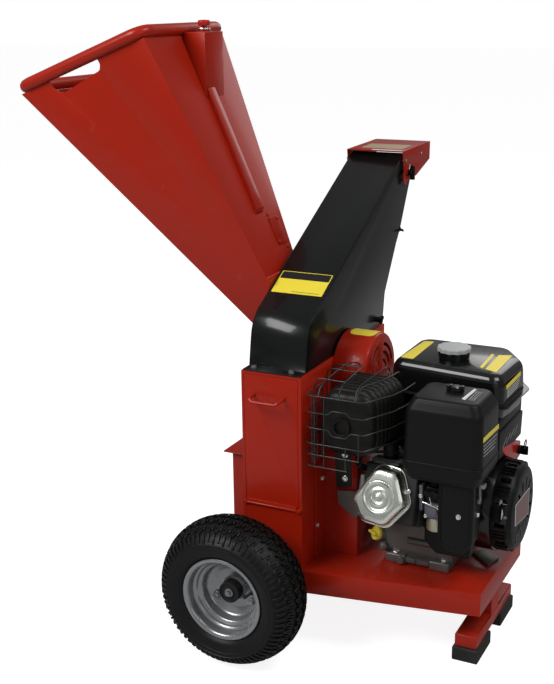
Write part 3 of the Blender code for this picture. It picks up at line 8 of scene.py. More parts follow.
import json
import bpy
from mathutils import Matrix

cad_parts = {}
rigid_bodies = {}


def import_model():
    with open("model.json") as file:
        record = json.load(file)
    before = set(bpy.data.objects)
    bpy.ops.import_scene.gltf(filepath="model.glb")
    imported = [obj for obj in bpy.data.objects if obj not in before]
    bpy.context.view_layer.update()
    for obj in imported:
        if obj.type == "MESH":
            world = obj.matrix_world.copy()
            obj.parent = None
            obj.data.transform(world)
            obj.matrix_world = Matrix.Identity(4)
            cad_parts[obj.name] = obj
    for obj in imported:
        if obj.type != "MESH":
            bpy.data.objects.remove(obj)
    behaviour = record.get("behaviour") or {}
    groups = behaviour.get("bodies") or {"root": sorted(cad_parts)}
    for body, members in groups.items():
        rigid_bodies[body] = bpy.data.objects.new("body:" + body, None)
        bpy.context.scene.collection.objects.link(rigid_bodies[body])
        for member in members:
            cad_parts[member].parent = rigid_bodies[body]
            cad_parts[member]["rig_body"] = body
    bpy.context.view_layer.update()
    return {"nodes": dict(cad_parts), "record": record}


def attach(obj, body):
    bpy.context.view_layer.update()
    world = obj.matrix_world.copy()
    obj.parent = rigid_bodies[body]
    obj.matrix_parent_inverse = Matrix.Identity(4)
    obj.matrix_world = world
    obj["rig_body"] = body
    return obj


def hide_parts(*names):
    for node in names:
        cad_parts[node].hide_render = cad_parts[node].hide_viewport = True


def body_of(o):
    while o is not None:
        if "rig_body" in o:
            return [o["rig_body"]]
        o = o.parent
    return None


bl_info = {
    "name": "Petrol Wood Chipper",
    "version": (1, 0, 0),
    "blender": (4, 5, 0),
    "location": "View3D > Sidebar > Chipper",
    "description": "Finishes and details of a two wheeled petrol wood chipper",
    "category": "Object",
}

from math import copysign, cos, hypot, pi, radians, sin, tan, tau

import bmesh
import bpy
from bpy.props import FloatProperty, FloatVectorProperty, PointerProperty
from mathutils import Matrix, Vector

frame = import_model()
SHIFT = Vector((0.04595, -0.0665, 0))
WELD = 0.00001
ROD_EDGE = 0.0004

# The photograph's frame and the camera that was fitted to it
IMAGE_HEIGHT = 684
FOCAL_PIXELS = 1164.0364
CAMERA_PLACE = Vector((1.0959, -2.274, 1.3658))
CAMERA_YAW = radians(26.8757)
CAMERA_PITCH = radians(16.3929)
CAMERA_ROLL = radians(-0.7334)

# Places that several pieces share
WHEEL_Y = 0.332
AXLE_Z = 0.165
SHAFT_Y = 0.02
ROTOR_Z = 0.567
CRANK_Z = 0.31
TYRE_RADIUS = 0.165
CYLINDER_TILT = radians(18)
DECK_TOP = 0.178
HOUSING_X = (-0.03, 0.11)
HOUSING_Y = (-0.222, 0.242)
BELT_GUARD_SIDE = 0.189
BEARING_BOLTS = (-0.0355, 0.0355)
WELD_Z = 0.1788
COWL_RADIUS = 0.093
CHUTE_X = (-0.026, 0.106)
HOOD_X = (-0.033, 0.113)
RECOIL_RADIUS = 0.098
RECOIL_END = 0.525
TANK_TOP = 0.615
CAP_PLACE = (0.348, 0.05)
CAP_LOBES = 12
CAP_STEPS = 8
CLEANER_X = (0.322, 0.49)
CLEANER_Y = (-0.2, -0.062)
CLEANER_SEAM = 0.463
CLEANER_TOP = 0.6
CLEANER_KNOB = (0.408, -0.12)
MUFFLER_X = (0.149, 0.266)
MUFFLER_Y = (-0.215, -0.06)
MUFFLER_Z = (0.456, 0.597)
CAGE_LEFT = 0.126
CAGE_FRONT = -0.235
WIRE_RADIUS = 0.0016
MUFFLER_PORT = (0.199, 0.522)
MOUTH_LOW = (-0.602, 0.167, 1.17)
MOUTH_HIGH = (-0.274, 0.167, 1.293)
NECK_HIGH = (-0.031, 0.074, 0.762)
STOP_BUTTON = (-0.233, 0.014)
RIM_TUBE_RADIUS = 0.0137
RIM_TUBE_INSET = 0.0042

# The stage: how bright the sky is to the machine, the floor's own glow for the camera,
# and the point that the lamps look at
WORLD_LIGHT = 0.24
FLOOR_GLOW = 0.86
LAMP_TARGET = (0, 0, 0.6)
WHITE = (1, 1, 1, 1)


# Settings

def colour_setting(name, description, value):
    """A colour that a user can change in the sidebar."""
    return FloatVectorProperty(name=name, description=description, subtype="COLOR", size=4, min=0,
                               max=1, default=value)


def number_setting(name, description, value, unit):
    """A number that a user can change in the sidebar, in SI units."""
    return FloatProperty(name=name, description=description, default=value, min=0, unit=unit)


class ChipperColours(bpy.types.PropertyGroup):
    red: colour_setting("Red paint", "Powder coat of the steel parts", (0.33, 0.0125, 0.003, 1))
    black: colour_setting("Black paint", "Gloss paint of the chute", (0.0045, 0.005, 0.005, 1))
    plastic: colour_setting("Black plastic", "Engine covers", (0.0042, 0.0048, 0.0045, 1))
    rubber: colour_setting("Rubber", "Tyres and belts", (0.0038, 0.0042, 0.004, 1))
    silver: colour_setting("Wheel silver", "Paint of the rims", (0.3, 0.31, 0.32, 1))
    alloy: colour_setting("Cast alloy", "Crankcase and bearings", (0.145, 0.145, 0.14, 1))
    steel: colour_setting("Bright steel", "Plated and polished parts", (0.82, 0.85, 0.78, 1))
    yellow: colour_setting("Yellow", "Dipstick", (0.72, 0.6, 0.055, 1))
    dust: colour_setting("Dust", "Dust that settles low down", (0.2, 0.17, 0.13, 1))


class ChipperSizes(bpy.types.PropertyGroup):
    edge: number_setting("Edge", "Rounding of sheet metal edges", 0.001, "LENGTH")
    grain: number_setting("Grain", "Depth of the plastic's grain", 0.00012, "LENGTH")


class StudioSettings(bpy.types.PropertyGroup):
    key: number_setting("Key", "Power of the large lamp above", 84, "POWER")
    fill: number_setting("Fill", "Power of the lamp on the door side", 8, "POWER")
    rim: number_setting("Rim", "Power of the lamp on the engine's side", 45, "POWER")
    back: number_setting("Back", "Power of the lamp behind the machine", 16, "POWER")
    floor: colour_setting("Floor", "Colour of the floor", (0.5, 0.5, 0.5, 1))


def colours():
    return bpy.context.scene.chipper_colours


def sizes():
    return bpy.context.scene.chipper_sizes


# Shader nodes, and the node groups of effects that several finishes share

SOCKET_KINDS = {"Vector": "Vector", "Normal": "Vector", "Color": "Color", "Dust": "Color"}


def empty_tree(owner):
    """The emptied node tree of a material or a world."""
    owner.use_nodes = True
    owner.node_tree.nodes.clear()
    return owner.node_tree


def new_group(name, inputs, outputs):
    """An empty node group: its tree, what it is given, and its output node."""
    tree = bpy.data.node_groups.new(name, "ShaderNodeTree")
    for labels, way in ((inputs, "INPUT"), (outputs, "OUTPUT")):
        for label in labels:
            kind = "NodeSocket" + SOCKET_KINDS.get(label, "Float")
            tree.interface.new_socket(label, in_out=way, socket_type=kind)
    given = tree.nodes.new("NodeGroupInput").outputs
    return tree, given, tree.nodes.new("NodeGroupOutput")


def fill_inputs(tree, node, inputs):
    """Sets a node's inputs; each is a value, or an output socket to link."""
    for label, value in inputs.items():
        if isinstance(value, bpy.types.NodeSocket):
            tree.links.new(value, node.inputs[label])
        else:
            node.inputs[label].default_value = value


def add_node(tree, kind, inputs=None, **settings):
    """A node with its settings and inputs."""
    node = tree.nodes.new("ShaderNode" + kind)
    for label, value in settings.items():
        setattr(node, label, value)
    fill_inputs(tree, node, inputs or {})
    return node


def product(tree, a, b, clamp=False):
    return add_node(tree, "Math", {0: a, 1: b}, operation="MULTIPLY", use_clamp=clamp).outputs[0]


def scaled(tree, value, factor, offset, clamp=False):
    """value * factor + offset."""
    return add_node(tree, "Math", {0: value, 1: factor, 2: offset}, operation="MULTIPLY_ADD",
                    use_clamp=clamp).outputs[0]


def ramp(tree, value, low, high, start=0, end=1):
    """A value that goes from start to end while another goes from low to high."""
    return add_node(tree, "MapRange", {"Value": value, "From Min": low, "From Max": high,
                                       "To Min": start, "To Max": end}).outputs[0]


def noise(tree, vector, scale, detail=2, roughness=0.5):
    return add_node(tree, "TexNoise", {"Vector": vector, "Scale": scale, "Detail": detail,
                                       "Roughness": roughness}).outputs[0]


def mixed(tree, factor, below, above):
    """One colour over another."""
    return add_node(tree, "Mix", {"Factor": factor, "A": below, "B": above},
                    data_type="RGBA").outputs["Result"]


def height_of(tree, vector):
    return add_node(tree, "SeparateXYZ", {0: vector}).outputs["Z"]


def tone_group():
    """Slow, cloudy changes of a colour's brightness."""
    tree, given, result = new_group("Tone", ("Vector", "Color", "Scale", "Amount"),
                                    ("Color", "Cloud"))
    cloud = noise(tree, given["Vector"], given["Scale"], 4, 0.6)
    swing = product(tree, scaled(tree, cloud, 2, -1), given["Amount"])
    shade = add_node(tree, "HueSaturation", {"Value": scaled(tree, swing, 1, 1),
                                             "Color": given["Color"]})
    fill_inputs(tree, result, {"Color": shade.outputs["Color"], "Cloud": cloud})
    return tree


def grain_group():
    """A fine bump, as in moulded plastic, castings or powder coat."""
    tree, given, result = new_group("Grain", ("Vector", "Scale", "Depth", "Detail"), ("Normal",))
    height = noise(tree, given["Vector"], given["Scale"], given["Detail"])
    bump = add_node(tree, "Bump", {"Height": height, "Distance": given["Depth"], "Strength": 1})
    fill_inputs(tree, result, {"Normal": bump.outputs[0]})
    return tree


def dust_group():
    """Dust that lies thicker towards the ground and on faces that look up."""
    tree, given, result = new_group("Dust", ("Vector", "Color", "Dust", "Top", "Amount"),
                                    ("Color", "Mask"))
    low = ramp(tree, height_of(tree, given["Vector"]), given["Top"], 0)
    normal = add_node(tree, "TexCoord").outputs["Normal"]
    upward = ramp(tree, height_of(tree, normal), 0.3, 1, 0.25)
    patchy = ramp(tree, noise(tree, given["Vector"], 22, 6, 0.7), 0.38, 0.68)
    where = product(tree, product(tree, low, upward), patchy)
    mask = product(tree, where, given["Amount"], clamp=True)
    fill_inputs(tree, result, {"Color": mixed(tree, mask, given["Color"], given["Dust"]),
                               "Mask": mask})
    return tree


def scuff_group():
    """Thin scratches and small rubbed spots, as a mask."""
    tree, given, result = new_group("Scuffs", ("Vector", "Scale", "Amount"), ("Mask",))
    stretch = add_node(tree, "Mapping", {"Vector": given["Vector"], "Rotation": (0.4, 0.7, 0.3),
                                         "Scale": (1, 0.06, 1)}).outputs[0]
    thin = ramp(tree, noise(tree, stretch, given["Scale"], 3), 0.66, 0.74)
    where = ramp(tree, noise(tree, given["Vector"], 9), 0.48, 0.62)
    mask = product(tree, product(tree, thin, where), given["Amount"], clamp=True)
    fill_inputs(tree, result, {"Mask": mask})
    return tree


GROUPS = {"Tone": tone_group, "Grain": grain_group, "Dust": dust_group, "Scuffs": scuff_group}


def add_group(tree, name, inputs):
    """The outputs of one use of a shared node group, with its own values."""
    node = tree.nodes.new("ShaderNodeGroup")
    node.node_tree = bpy.data.node_groups.get(name) or GROUPS[name]()
    fill_inputs(tree, node, inputs)
    return node.outputs


# Finishes

WORN_COLOUR = (0.3, 0.28, 0.26, 1)
COAT_ROUGHNESS = 0.08
ROUGHNESS_SWING = 0.12
DUST_ROUGHNESS = 0.5


def finish(name, colour, roughness, metallic=0, coat=0, tone=(6, 0.08), grain=(300, 0.0001, 2),
           dust=(0.35, 0.15), scuffs=(40, 0.3), specular=0.35):
    """A finish from one Principled shader and the shared effects.

    tone and scuffs are scale and amount, grain is scale, depth and detail, and dust is
    the height where it ends and its amount.
    """
    tree = empty_tree(bpy.data.materials.new(name))
    place = add_node(tree, "TexCoord").outputs["Object"]
    clouds = add_group(tree, "Tone", {"Vector": place, "Color": colour, "Scale": tone[0],
                                      "Amount": tone[1]})
    dusty = add_group(tree, "Dust", {"Vector": place, "Color": clouds["Color"],
                                     "Dust": tuple(colours().dust), "Top": dust[0],
                                     "Amount": dust[1]})
    rubbed = add_group(tree, "Scuffs", {"Vector": place, "Scale": scuffs[0], "Amount": scuffs[1]})
    relief = add_group(tree, "Grain", {"Vector": place, "Scale": grain[0], "Depth": grain[1],
                                       "Detail": grain[2]})
    varied = scaled(tree, clouds["Cloud"], ROUGHNESS_SWING, roughness - ROUGHNESS_SWING / 2)
    shader = add_node(tree, "BsdfPrincipled", {
        "Base Color": mixed(tree, rubbed["Mask"], dusty["Color"], WORN_COLOUR),
        "Roughness": scaled(tree, dusty["Mask"], DUST_ROUGHNESS, varied, clamp=True),
        "Normal": relief["Normal"], "Metallic": metallic, "Coat Weight": coat,
        "Coat Roughness": COAT_ROUGHNESS, "Specular IOR Level": specular})
    add_node(tree, "OutputMaterial", {"Surface": shader.outputs[0]})


def make_finishes():
    """Makes every finish, under its own name with a capital letter."""
    c = colours()
    deep = sizes().grain
    finish("Red paint", c.red, 0.33, coat=0.12, tone=(3, 0.07), grain=(420, 0.00006, 1),
           dust=(0.25, 0.12), scuffs=(30, 0.06), specular=0.2)
    finish("Black paint", c.black, 0.24, coat=0.25, tone=(4, 0.15), grain=(160, 0.00005, 1),
           dust=(0.3, 0.05), scuffs=(26, 0.03), specular=0.22)
    finish("Silencer black", (0.0065, 0.006, 0.005, 1), 0.44, tone=(20, 0.2),
           grain=(500, 0.0001, 3), scuffs=(40, 0.05), specular=0.22)
    finish("Guard wire", (0.04, 0.042, 0.043, 1), 0.3, metallic=0.6, tone=(20, 0.1),
           grain=(500, 0.00005, 2), scuffs=(40, 0.05))
    finish("Black plastic", c.plastic, 0.42, tone=(8, 0.1), grain=(900, deep, 2), dust=(0.3, 0.05),
           scuffs=(60, 0.04), specular=0.18)
    finish("Gloss plastic", c.plastic, 0.2, coat=0.2, tone=(8, 0.1), grain=(300, 0.00004, 2),
           dust=(0.3, 0.05), scuffs=(60, 0.04))
    finish("Tank plastic", c.plastic, 0.2, coat=0.2, tone=(6, 0.12), grain=(260, 0.00005, 2),
           dust=(0.3, 0.05), scuffs=(50, 0.04))
    finish("Tyre rubber", c.rubber, 0.44, tone=(14, 0.22), grain=(420, 0.00018, 4),
           dust=(0.2, 0.06), scuffs=(50, 0.04), specular=0.22)
    finish("Pad rubber", (0.009, 0.009, 0.009, 1), 0.7, tone=(30, 0.2), grain=(600, 0.0002, 3),
           dust=(0.1, 0.3), scuffs=(50, 0.05))
    finish("Wheel silver", c.silver, 0.26, metallic=0.75, tone=(9, 0.08), grain=(700, 0.00005, 2),
           dust=(0.3, 0.2), scuffs=(40, 0.1))
    finish("Cast alloy", c.alloy, 0.46, metallic=0.55, tone=(18, 0.25), grain=(380, 0.00035, 5),
           dust=(0.35, 0.25), scuffs=(40, 0.1))
    finish("Fin alloy", (0.03, 0.03, 0.03, 1), 0.5, metallic=0.6, tone=(20, 0.3),
           grain=(420, 0.0003, 4))
    finish("Bright steel", c.steel, 0.27, metallic=1, tone=(7, 0.06), grain=(40, 0.00012, 1),
           dust=(0.3, 0.02), scuffs=(60, 0.08))
    finish("Grey steel", (0.3, 0.3, 0.31, 1), 0.36, metallic=0.95, tone=(14, 0.15),
           grain=(600, 0.0001, 2))
    finish("Yellow plastic", c.yellow, 0.38, tone=(20, 0.08), grain=(500, 0.00006, 2),
           scuffs=(60, 0.05))
    finish("Red plastic", (0.4, 0.008, 0.006, 1), 0.3, coat=0.2, tone=(20, 0.08),
           grain=(500, 0.00005, 2), scuffs=(60, 0.05))
    finish("Grey casting", (0.16, 0.16, 0.19, 1), 0.5, metallic=0.6, tone=(24, 0.2),
           grain=(420, 0.0003, 4))
    finish("Bowl plate", (0.52, 0.5, 0.38, 1), 0.38, metallic=0.7, tone=(20, 0.12),
           grain=(500, 0.0001, 3))
    finish("Cap grey", (0.36, 0.37, 0.375, 1), 0.34, tone=(16, 0.1), grain=(500, 0.00008, 2))
    for name, colour, roughness, cloudy, worn in (
            ("Yellow patch", (0.74, 0.6, 0.045, 1), 0.4, 0.06, 0.08),
            ("Pale patch", (0.62, 0.62, 0.6, 1), 0.42, 0.06, 0.08),
            ("Beige patch", (0.4, 0.3, 0.19, 1), 0.4, 0.1, 0.08),
            ("Dark patch", (0.01, 0.01, 0.011, 1), 0.36, 0.1, 0.05),
            ("Brown patch", (0.16, 0.085, 0.075, 1), 0.4, 0.08, 0.08)):
        finish(name, colour, roughness, tone=(14, cloudy), grain=(300, 0.00002, 1),
               scuffs=(60, worn))


# The record's slots of those finishes that aren't named after a slot
NODE_FINISHES = {"fan_shroud": "Gloss plastic"}


def node_finish(node):
    """The finish of a CAD node, from its slot in the record."""
    slots = {row["node"]: row["material_slot"] for row in frame["record"]["subparts"]}
    return NODE_FINISHES.get(node) or slots[node].replace("_", " ").capitalize()


def finish_cad_nodes():
    """Gives each CAD node the finish of its slot."""
    for name, obj in frame["nodes"].items():
        for slot in obj.material_slots:
            slot.material = bpy.data.materials[node_finish(name)]


# Mesh helpers

IDENTITY = Matrix.Identity(4)
LEFT, RIGHT = (-1, 0, 0), (1, 0, 0)
FRONT, BACK = (0, -1, 0), (0, 1, 0)
DOWN, UP = (0, 0, -1), (0, 0, 1)


def at(*place):
    return Matrix.Translation(place)


def axes(x, y, z):
    """A turn that takes the axes to three directions."""
    return Matrix((Vector(x), Vector(y), Vector(z))).transposed().to_4x4()


def upright(y):
    """A frame at a depth whose X stays X, whose Y points up and whose Z points forwards."""
    return at(0, y, 0) @ axes(RIGHT, UP, FRONT)


def sideways(x):
    """A frame whose X points back, whose Y points up and whose Z points right."""
    return at(x, 0, 0) @ axes(BACK, UP, RIGHT)


def facing(place, direction, turn=0):
    """A frame at a place whose Z axis points along a direction."""
    look = Vector(direction).to_track_quat("Z", "Y").to_matrix().to_4x4()
    return at(*place) @ look @ Matrix.Rotation(turn, 4, "Z")


def cylinder_frame():
    """The frame (x, w, u) of the leaning cylinder: u runs out along it."""
    out = Vector((0, -cos(CYLINDER_TILT), sin(CYLINDER_TILT)))
    up = Vector((0, sin(CYLINDER_TILT), cos(CYLINDER_TILT)))
    return at(0, SHAFT_Y, CRANK_Z) @ axes(RIGHT, up, out)


def absorb(bm, other, matrix=IDENTITY):
    """Moves another bmesh's geometry, placed by a matrix, into this one."""
    other.transform(matrix)
    mesh = bpy.data.meshes.new("scratch")
    other.to_mesh(mesh)
    other.free()
    bm.from_mesh(mesh)
    bpy.data.meshes.remove(mesh)


def stamp(bm, shape, matrices):
    """Adds a copy of a repeated shape at each matrix."""
    mesh = bpy.data.meshes.new("stamp")
    shape.to_mesh(mesh)
    shape.free()
    for matrix in matrices:
        before = len(bm.verts)
        bm.from_mesh(mesh)
        bm.verts.ensure_lookup_table()
        bmesh.ops.transform(bm, matrix=matrix, verts=bm.verts[before:])
    bpy.data.meshes.remove(mesh)


def polar(radius, degrees):
    """A point on a circle."""
    angle = radians(degrees)
    return (radius * cos(angle), radius * sin(angle))


def face_outwards(bm):
    bmesh.ops.recalc_face_normals(bm, faces=bm.faces)
    return bm


def corners_of(bm, angle=30):
    """The edges where two faces meet at more than an angle."""
    limit = radians(angle)
    return [e for e in bm.edges if len(e.link_faces) == 2 and e.calc_face_angle(0) > limit]


def round_edges(bm, edges, width, segments=2):
    bmesh.ops.bevel(bm, geom=edges, offset=width, offset_type="OFFSET", affect="EDGES",
                    segments=segments, profile=0.5, material=-1, clamp_overlap=True)


def add_block(bm, low, high, matrix=IDENTITY, edge=0.0006, segments=2):
    """A box between two corners with rounded edges."""
    size = Vector(high) - Vector(low)
    middle = (Vector(high) + Vector(low)) / 2
    block = bmesh.new()
    bmesh.ops.create_cube(block, size=1,
                          matrix=Matrix.Translation(middle) @ Matrix.Diagonal((*size, 1)))
    round_edges(block, block.edges[:], edge, segments)
    absorb(bm, block, matrix)


def add_rod(bm, start, end, radius, segments=16, tip=None):
    """A round bar between two points with eased rims; tip is the radius at its end."""
    start, end = Vector(start), Vector(end)
    bar = bmesh.new()
    bmesh.ops.create_cone(bar, cap_ends=True, segments=segments, radius1=radius,
                          radius2=radius if tip is None else tip, depth=(end - start).length)
    rims = [e for e in bar.edges if any(len(f.verts) == segments for f in e.link_faces)]
    round_edges(bar, rims, ROD_EDGE)
    absorb(bm, bar, facing((start + end) / 2, end - start))


def turned(profile, steps=48, closed=False):
    """A bmesh of a profile of (radius, height) pairs turned round Z."""
    bm = bmesh.new()
    verts = [bm.verts.new((r, 0, h)) for r, h in profile]
    ends = verts[1:] + verts[:1] if closed else verts[1:]
    edges = [bm.edges.new(pair) for pair in zip(verts, ends)]
    bmesh.ops.spin(bm, geom=verts + edges, cent=(0, 0, 0), axis=UP, angle=tau, steps=steps,
                   use_merge=True)
    bmesh.ops.remove_doubles(bm, verts=bm.verts, dist=WELD)
    return face_outwards(bm)


def add_plate(bm, outline, depth, matrix=IDENTITY, edge=0, segments=2):
    """An outline in a frame's XY plane, given a thickness and rounded edges."""
    plate = bmesh.new()
    face = plate.faces.new([plate.verts.new((x, y, 0)) for x, y in outline])
    grown = bmesh.ops.extrude_face_region(plate, geom=[face])["geom"]
    moved = [v for v in grown if isinstance(v, bmesh.types.BMVert)]
    bmesh.ops.translate(plate, verts=moved, vec=(0, 0, depth))
    face_outwards(plate)
    if edge:
        round_edges(plate, corners_of(plate), edge, segments)
    absorb(bm, plate, matrix)


def layers(outline, levels, middle):
    """A bmesh of an outline raised through (height, scale) levels about a middle."""
    body = bmesh.new()
    height, size = levels[0]
    centre = Vector((*middle, 0))
    spots = [centre + (Vector((x, y, 0)) - centre) * size for x, y in outline]
    top = body.faces.new([body.verts.new((p.x, p.y, height)) for p in spots])
    for z, scale in levels[1:]:
        grown = bmesh.ops.extrude_face_region(body, geom=[top])["geom"]
        top = next(f for f in grown if isinstance(f, bmesh.types.BMFace))
        bmesh.ops.translate(body, verts=top.verts[:], vec=(0, 0, z - height))
        bmesh.ops.scale(body, verts=top.verts[:], vec=(scale / size, scale / size, 1),
                        space=Matrix.Translation(-centre))
        height, size = z, scale
    return face_outwards(body)


def rounded(outline, radius, steps=4):
    """An outline with every corner replaced by an arc."""
    points = []
    for i, corner in enumerate(outline):
        here = Vector(corner)
        back = Vector(outline[i - 1]) - here
        on = Vector(outline[(i + 1) % len(outline)]) - here
        half = back.angle(on) / 2
        reach = min(radius / tan(half), back.length * 0.49, on.length * 0.49)
        away = (back.normalized() + on.normalized()).normalized() * (reach / cos(half))
        first = back.normalized() * reach - away
        sweep = first.angle_signed(on.normalized() * reach - away)
        for k in range(steps + 1):
            spoke = Matrix.Rotation(-sweep * k / steps, 2) @ first
            points.append(tuple(here + away + spoke))
    return points


def oblong(x, y):
    """The corners of a rectangle, from two ranges."""
    return [(x[0], y[0]), (x[1], y[0]), (x[1], y[1]), (x[0], y[1])]


def add_tube(bm, points, radius, cyclic=False, resolution=3):
    """A round wire or bar along points, made from a curve."""
    curve = bpy.data.curves.new("wire", "CURVE")
    curve.dimensions = "3D"
    spline = curve.splines.new("POLY")
    spline.points.add(len(points) - 1)
    for spot, place in zip(spline.points, points):
        spot.co = (*place, 1)
    spline.use_cyclic_u = cyclic
    curve.bevel_depth = radius
    curve.bevel_resolution = resolution
    curve.use_fill_caps = not cyclic
    holder = bpy.data.objects.new("wire", curve)
    mesh = bpy.data.meshes.new_from_object(holder)
    bm.from_mesh(mesh)
    bpy.data.meshes.remove(mesh)
    bpy.data.objects.remove(holder)
    bpy.data.curves.remove(curve)


PATH_STEPS = 8


def smooth_path(points):
    """More points along a smooth curve through the points."""
    spots = [Vector(p) for p in points]
    spots = [spots[0] * 2 - spots[1]] + spots + [spots[-1] * 2 - spots[-2]]
    path = []
    for a, b, c, d in zip(spots, spots[1:], spots[2:], spots[3:]):
        for t in [k / PATH_STEPS for k in range(PATH_STEPS)]:
            path.append(0.5 * (2 * b + (c - a) * t + (2 * a - 5 * b + 4 * c - d) * t * t
                               + (3 * b - 3 * c + d - a) * t ** 3))
    return path + [spots[-2]]


def add_bolt(bm, place, direction, size, turn=0.3):
    """A hexagon head on a washer; size is the thread's diameter."""
    matrix = facing(place, direction, turn)
    absorb(bm, turned([(0, 0), (size * 1.05, 0), (size * 1.05, size * 0.16),
                       (size, size * 0.2), (0, size * 0.2)], 20), matrix)
    head = bmesh.new()
    bmesh.ops.create_cone(head, cap_ends=True, segments=6, radius1=size * 0.93,
                          radius2=size * 0.93, depth=size * 0.62, matrix=at(0, 0, size * 0.51))
    rim = [e for e in head.edges if all(v.co.z > size * 0.6 for v in e.verts)]
    round_edges(head, rim, size * 0.12)
    absorb(bm, head, matrix)


def add_bolts(bm, rows):
    """Several bolts, as (place, direction, size), each turned a little further."""
    for i, (place, direction, size) in enumerate(rows):
        add_bolt(bm, place, direction, size, 0.3 + 0.7 * i)
    return bm


def add_bead(bm, start, end, radius):
    """A weld bead: a row of overlapping ripples from start to end."""
    start, end = Vector(start), Vector(end)
    count = max(2, int((end - start).length / (2.5 * radius)))
    ripple = bmesh.new()
    bmesh.ops.create_uvsphere(ripple, u_segments=8, v_segments=4, radius=radius)
    widths = [1 + 0.12 * sin(i * 2.4) for i in range(count)]
    stamp(bm, ripple, [facing(start.lerp(end, (i + 0.5) / count), end - start)
                       @ Matrix.Diagonal((width, width, 1.6, 1))
                       for i, width in enumerate(widths)])


def new_piece(name, bm, look, body="root", replaces=(), edge=0, angle=35):
    """A finished object with its place in its mesh, riding on a body."""
    bm.transform(Matrix.Translation(SHIFT))
    mesh = bpy.data.meshes.new(name)
    bm.to_mesh(mesh)
    bm.free()
    mesh.materials.append(bpy.data.materials[look])
    mesh.shade_smooth()
    piece = bpy.data.objects.new(name, mesh)
    bpy.context.scene.collection.objects.link(piece)
    if edge:
        bevel = piece.modifiers.new("Edges", "BEVEL")
        bevel.width = edge
        bevel.segments = 2
        bevel.limit_method = "ANGLE"
        bevel.angle_limit = radians(angle)
        bevel.harden_normals = True
    else:
        mesh.set_sharp_from_angle(angle=radians(angle))
    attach(piece, body)
    if replaces:
        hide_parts(*replaces)


# Sheet metal: the CAD's own shapes with their edges eased

SHEET_NODES = ("deck", "foot_frame", "rotor_housing", "rotor_door", "belt_guard", "battery_box",
               "battery_lid", "hopper", "chute", "hood", "stop_box", "cable_duct")


def joined_copy(node):
    """A bmesh of a CAD node, in the machine's own frame, with its triangles joined."""
    bm = bmesh.new()
    bm.from_mesh(frame["nodes"][node].data)
    bmesh.ops.remove_doubles(bm, verts=bm.verts, dist=WELD)
    bmesh.ops.dissolve_limit(bm, angle_limit=radians(1), verts=bm.verts[:], edges=bm.edges[:])
    bm.transform(Matrix.Translation(-SHIFT))
    return bm


def soften(node, suffix, edge, angle):
    """Replaces a CAD node by a copy with rounded edges."""
    new_piece(node + suffix, joined_copy(node), node_finish(node),
              body_of(frame["nodes"][node])[0], (node,), edge, angle)


def build_sheet_metal():
    """Copies each sheet metal node, joins its triangles and rounds its edges."""
    for node in SHEET_NODES:
        soften(node, "_sheet", sizes().edge, 28)


# Wheels

TREAD_BLOCKS = 48
TREAD_ROWS = (-0.0375, -0.0125, 0.0125, 0.0375)
TREAD_DEPTH = 0.005
TREAD_CROWN = 6.6
SHOULDER_LUGS = 72
SHOULDER_RADIUS = 0.142
SHOULDER_SLANT = 0.25
LUG_WIDTH = 0.005
LUG_CIRCLE = 0.048


def tread_block():
    """One block of the tread's middle rows, S shaped, standing on the carcass."""
    outline = [(-9, 4), (-9, -6.1), (-1.4, -11.1), (3.6, 4.9), (5, 3.9), (5, -4), (9, -4),
               (9, 6.1), (1.4, 11.1), (-3.6, -4.9), (-5, -3.9), (-5, 4)]
    block = bmesh.new()
    add_plate(block, [(u * 0.001, v * 0.001) for u, v in outline], TREAD_DEPTH)
    top = [e for e in corners_of(block, 60) if all(v.co.z > TREAD_DEPTH / 2 for v in e.verts)]
    round_edges(block, top, 0.0005, 1)
    return block


def tread_row(offset, flip):
    """A tread block bent round the tyre at an axial offset."""
    block = tread_block()
    for v in block.verts:
        around, across, height = v.co
        across = across * (-1 if flip else 1) + offset
        radius = TYRE_RADIUS - TREAD_CROWN * across * across - TREAD_DEPTH + height
        angle = around / TYRE_RADIUS
        v.co = (radius * sin(angle), radius * cos(angle), across)
    return face_outwards(block)


def shoulder_lug(side, length):
    """One lug of the tyre's shoulder; length 1 reaches the sidewall's rib."""
    outer = [(0.0485, 0.1492), (0.054, 0.1456), (0.0592, 0.1405), (0.0628, 0.134), (0.0642, 0.127)]
    inner = [(0.062, 0.127), (0.06, 0.132), (0.056, 0.1375), (0.051, 0.142), (0.0465, 0.145)]
    if length < 1:
        outer, inner = outer[:4], inner[1:]
    lug = bmesh.new()
    add_plate(lug, outer + inner, LUG_WIDTH, edge=0.0005, segments=1)
    for v in lug.verts:
        across, radius, around = v.co
        around += (across - 0.058) * SHOULDER_SLANT - LUG_WIDTH / 2
        angle = around / SHOULDER_RADIUS
        v.co = (radius * sin(angle), radius * cos(angle), across * side)
    return face_outwards(lug)


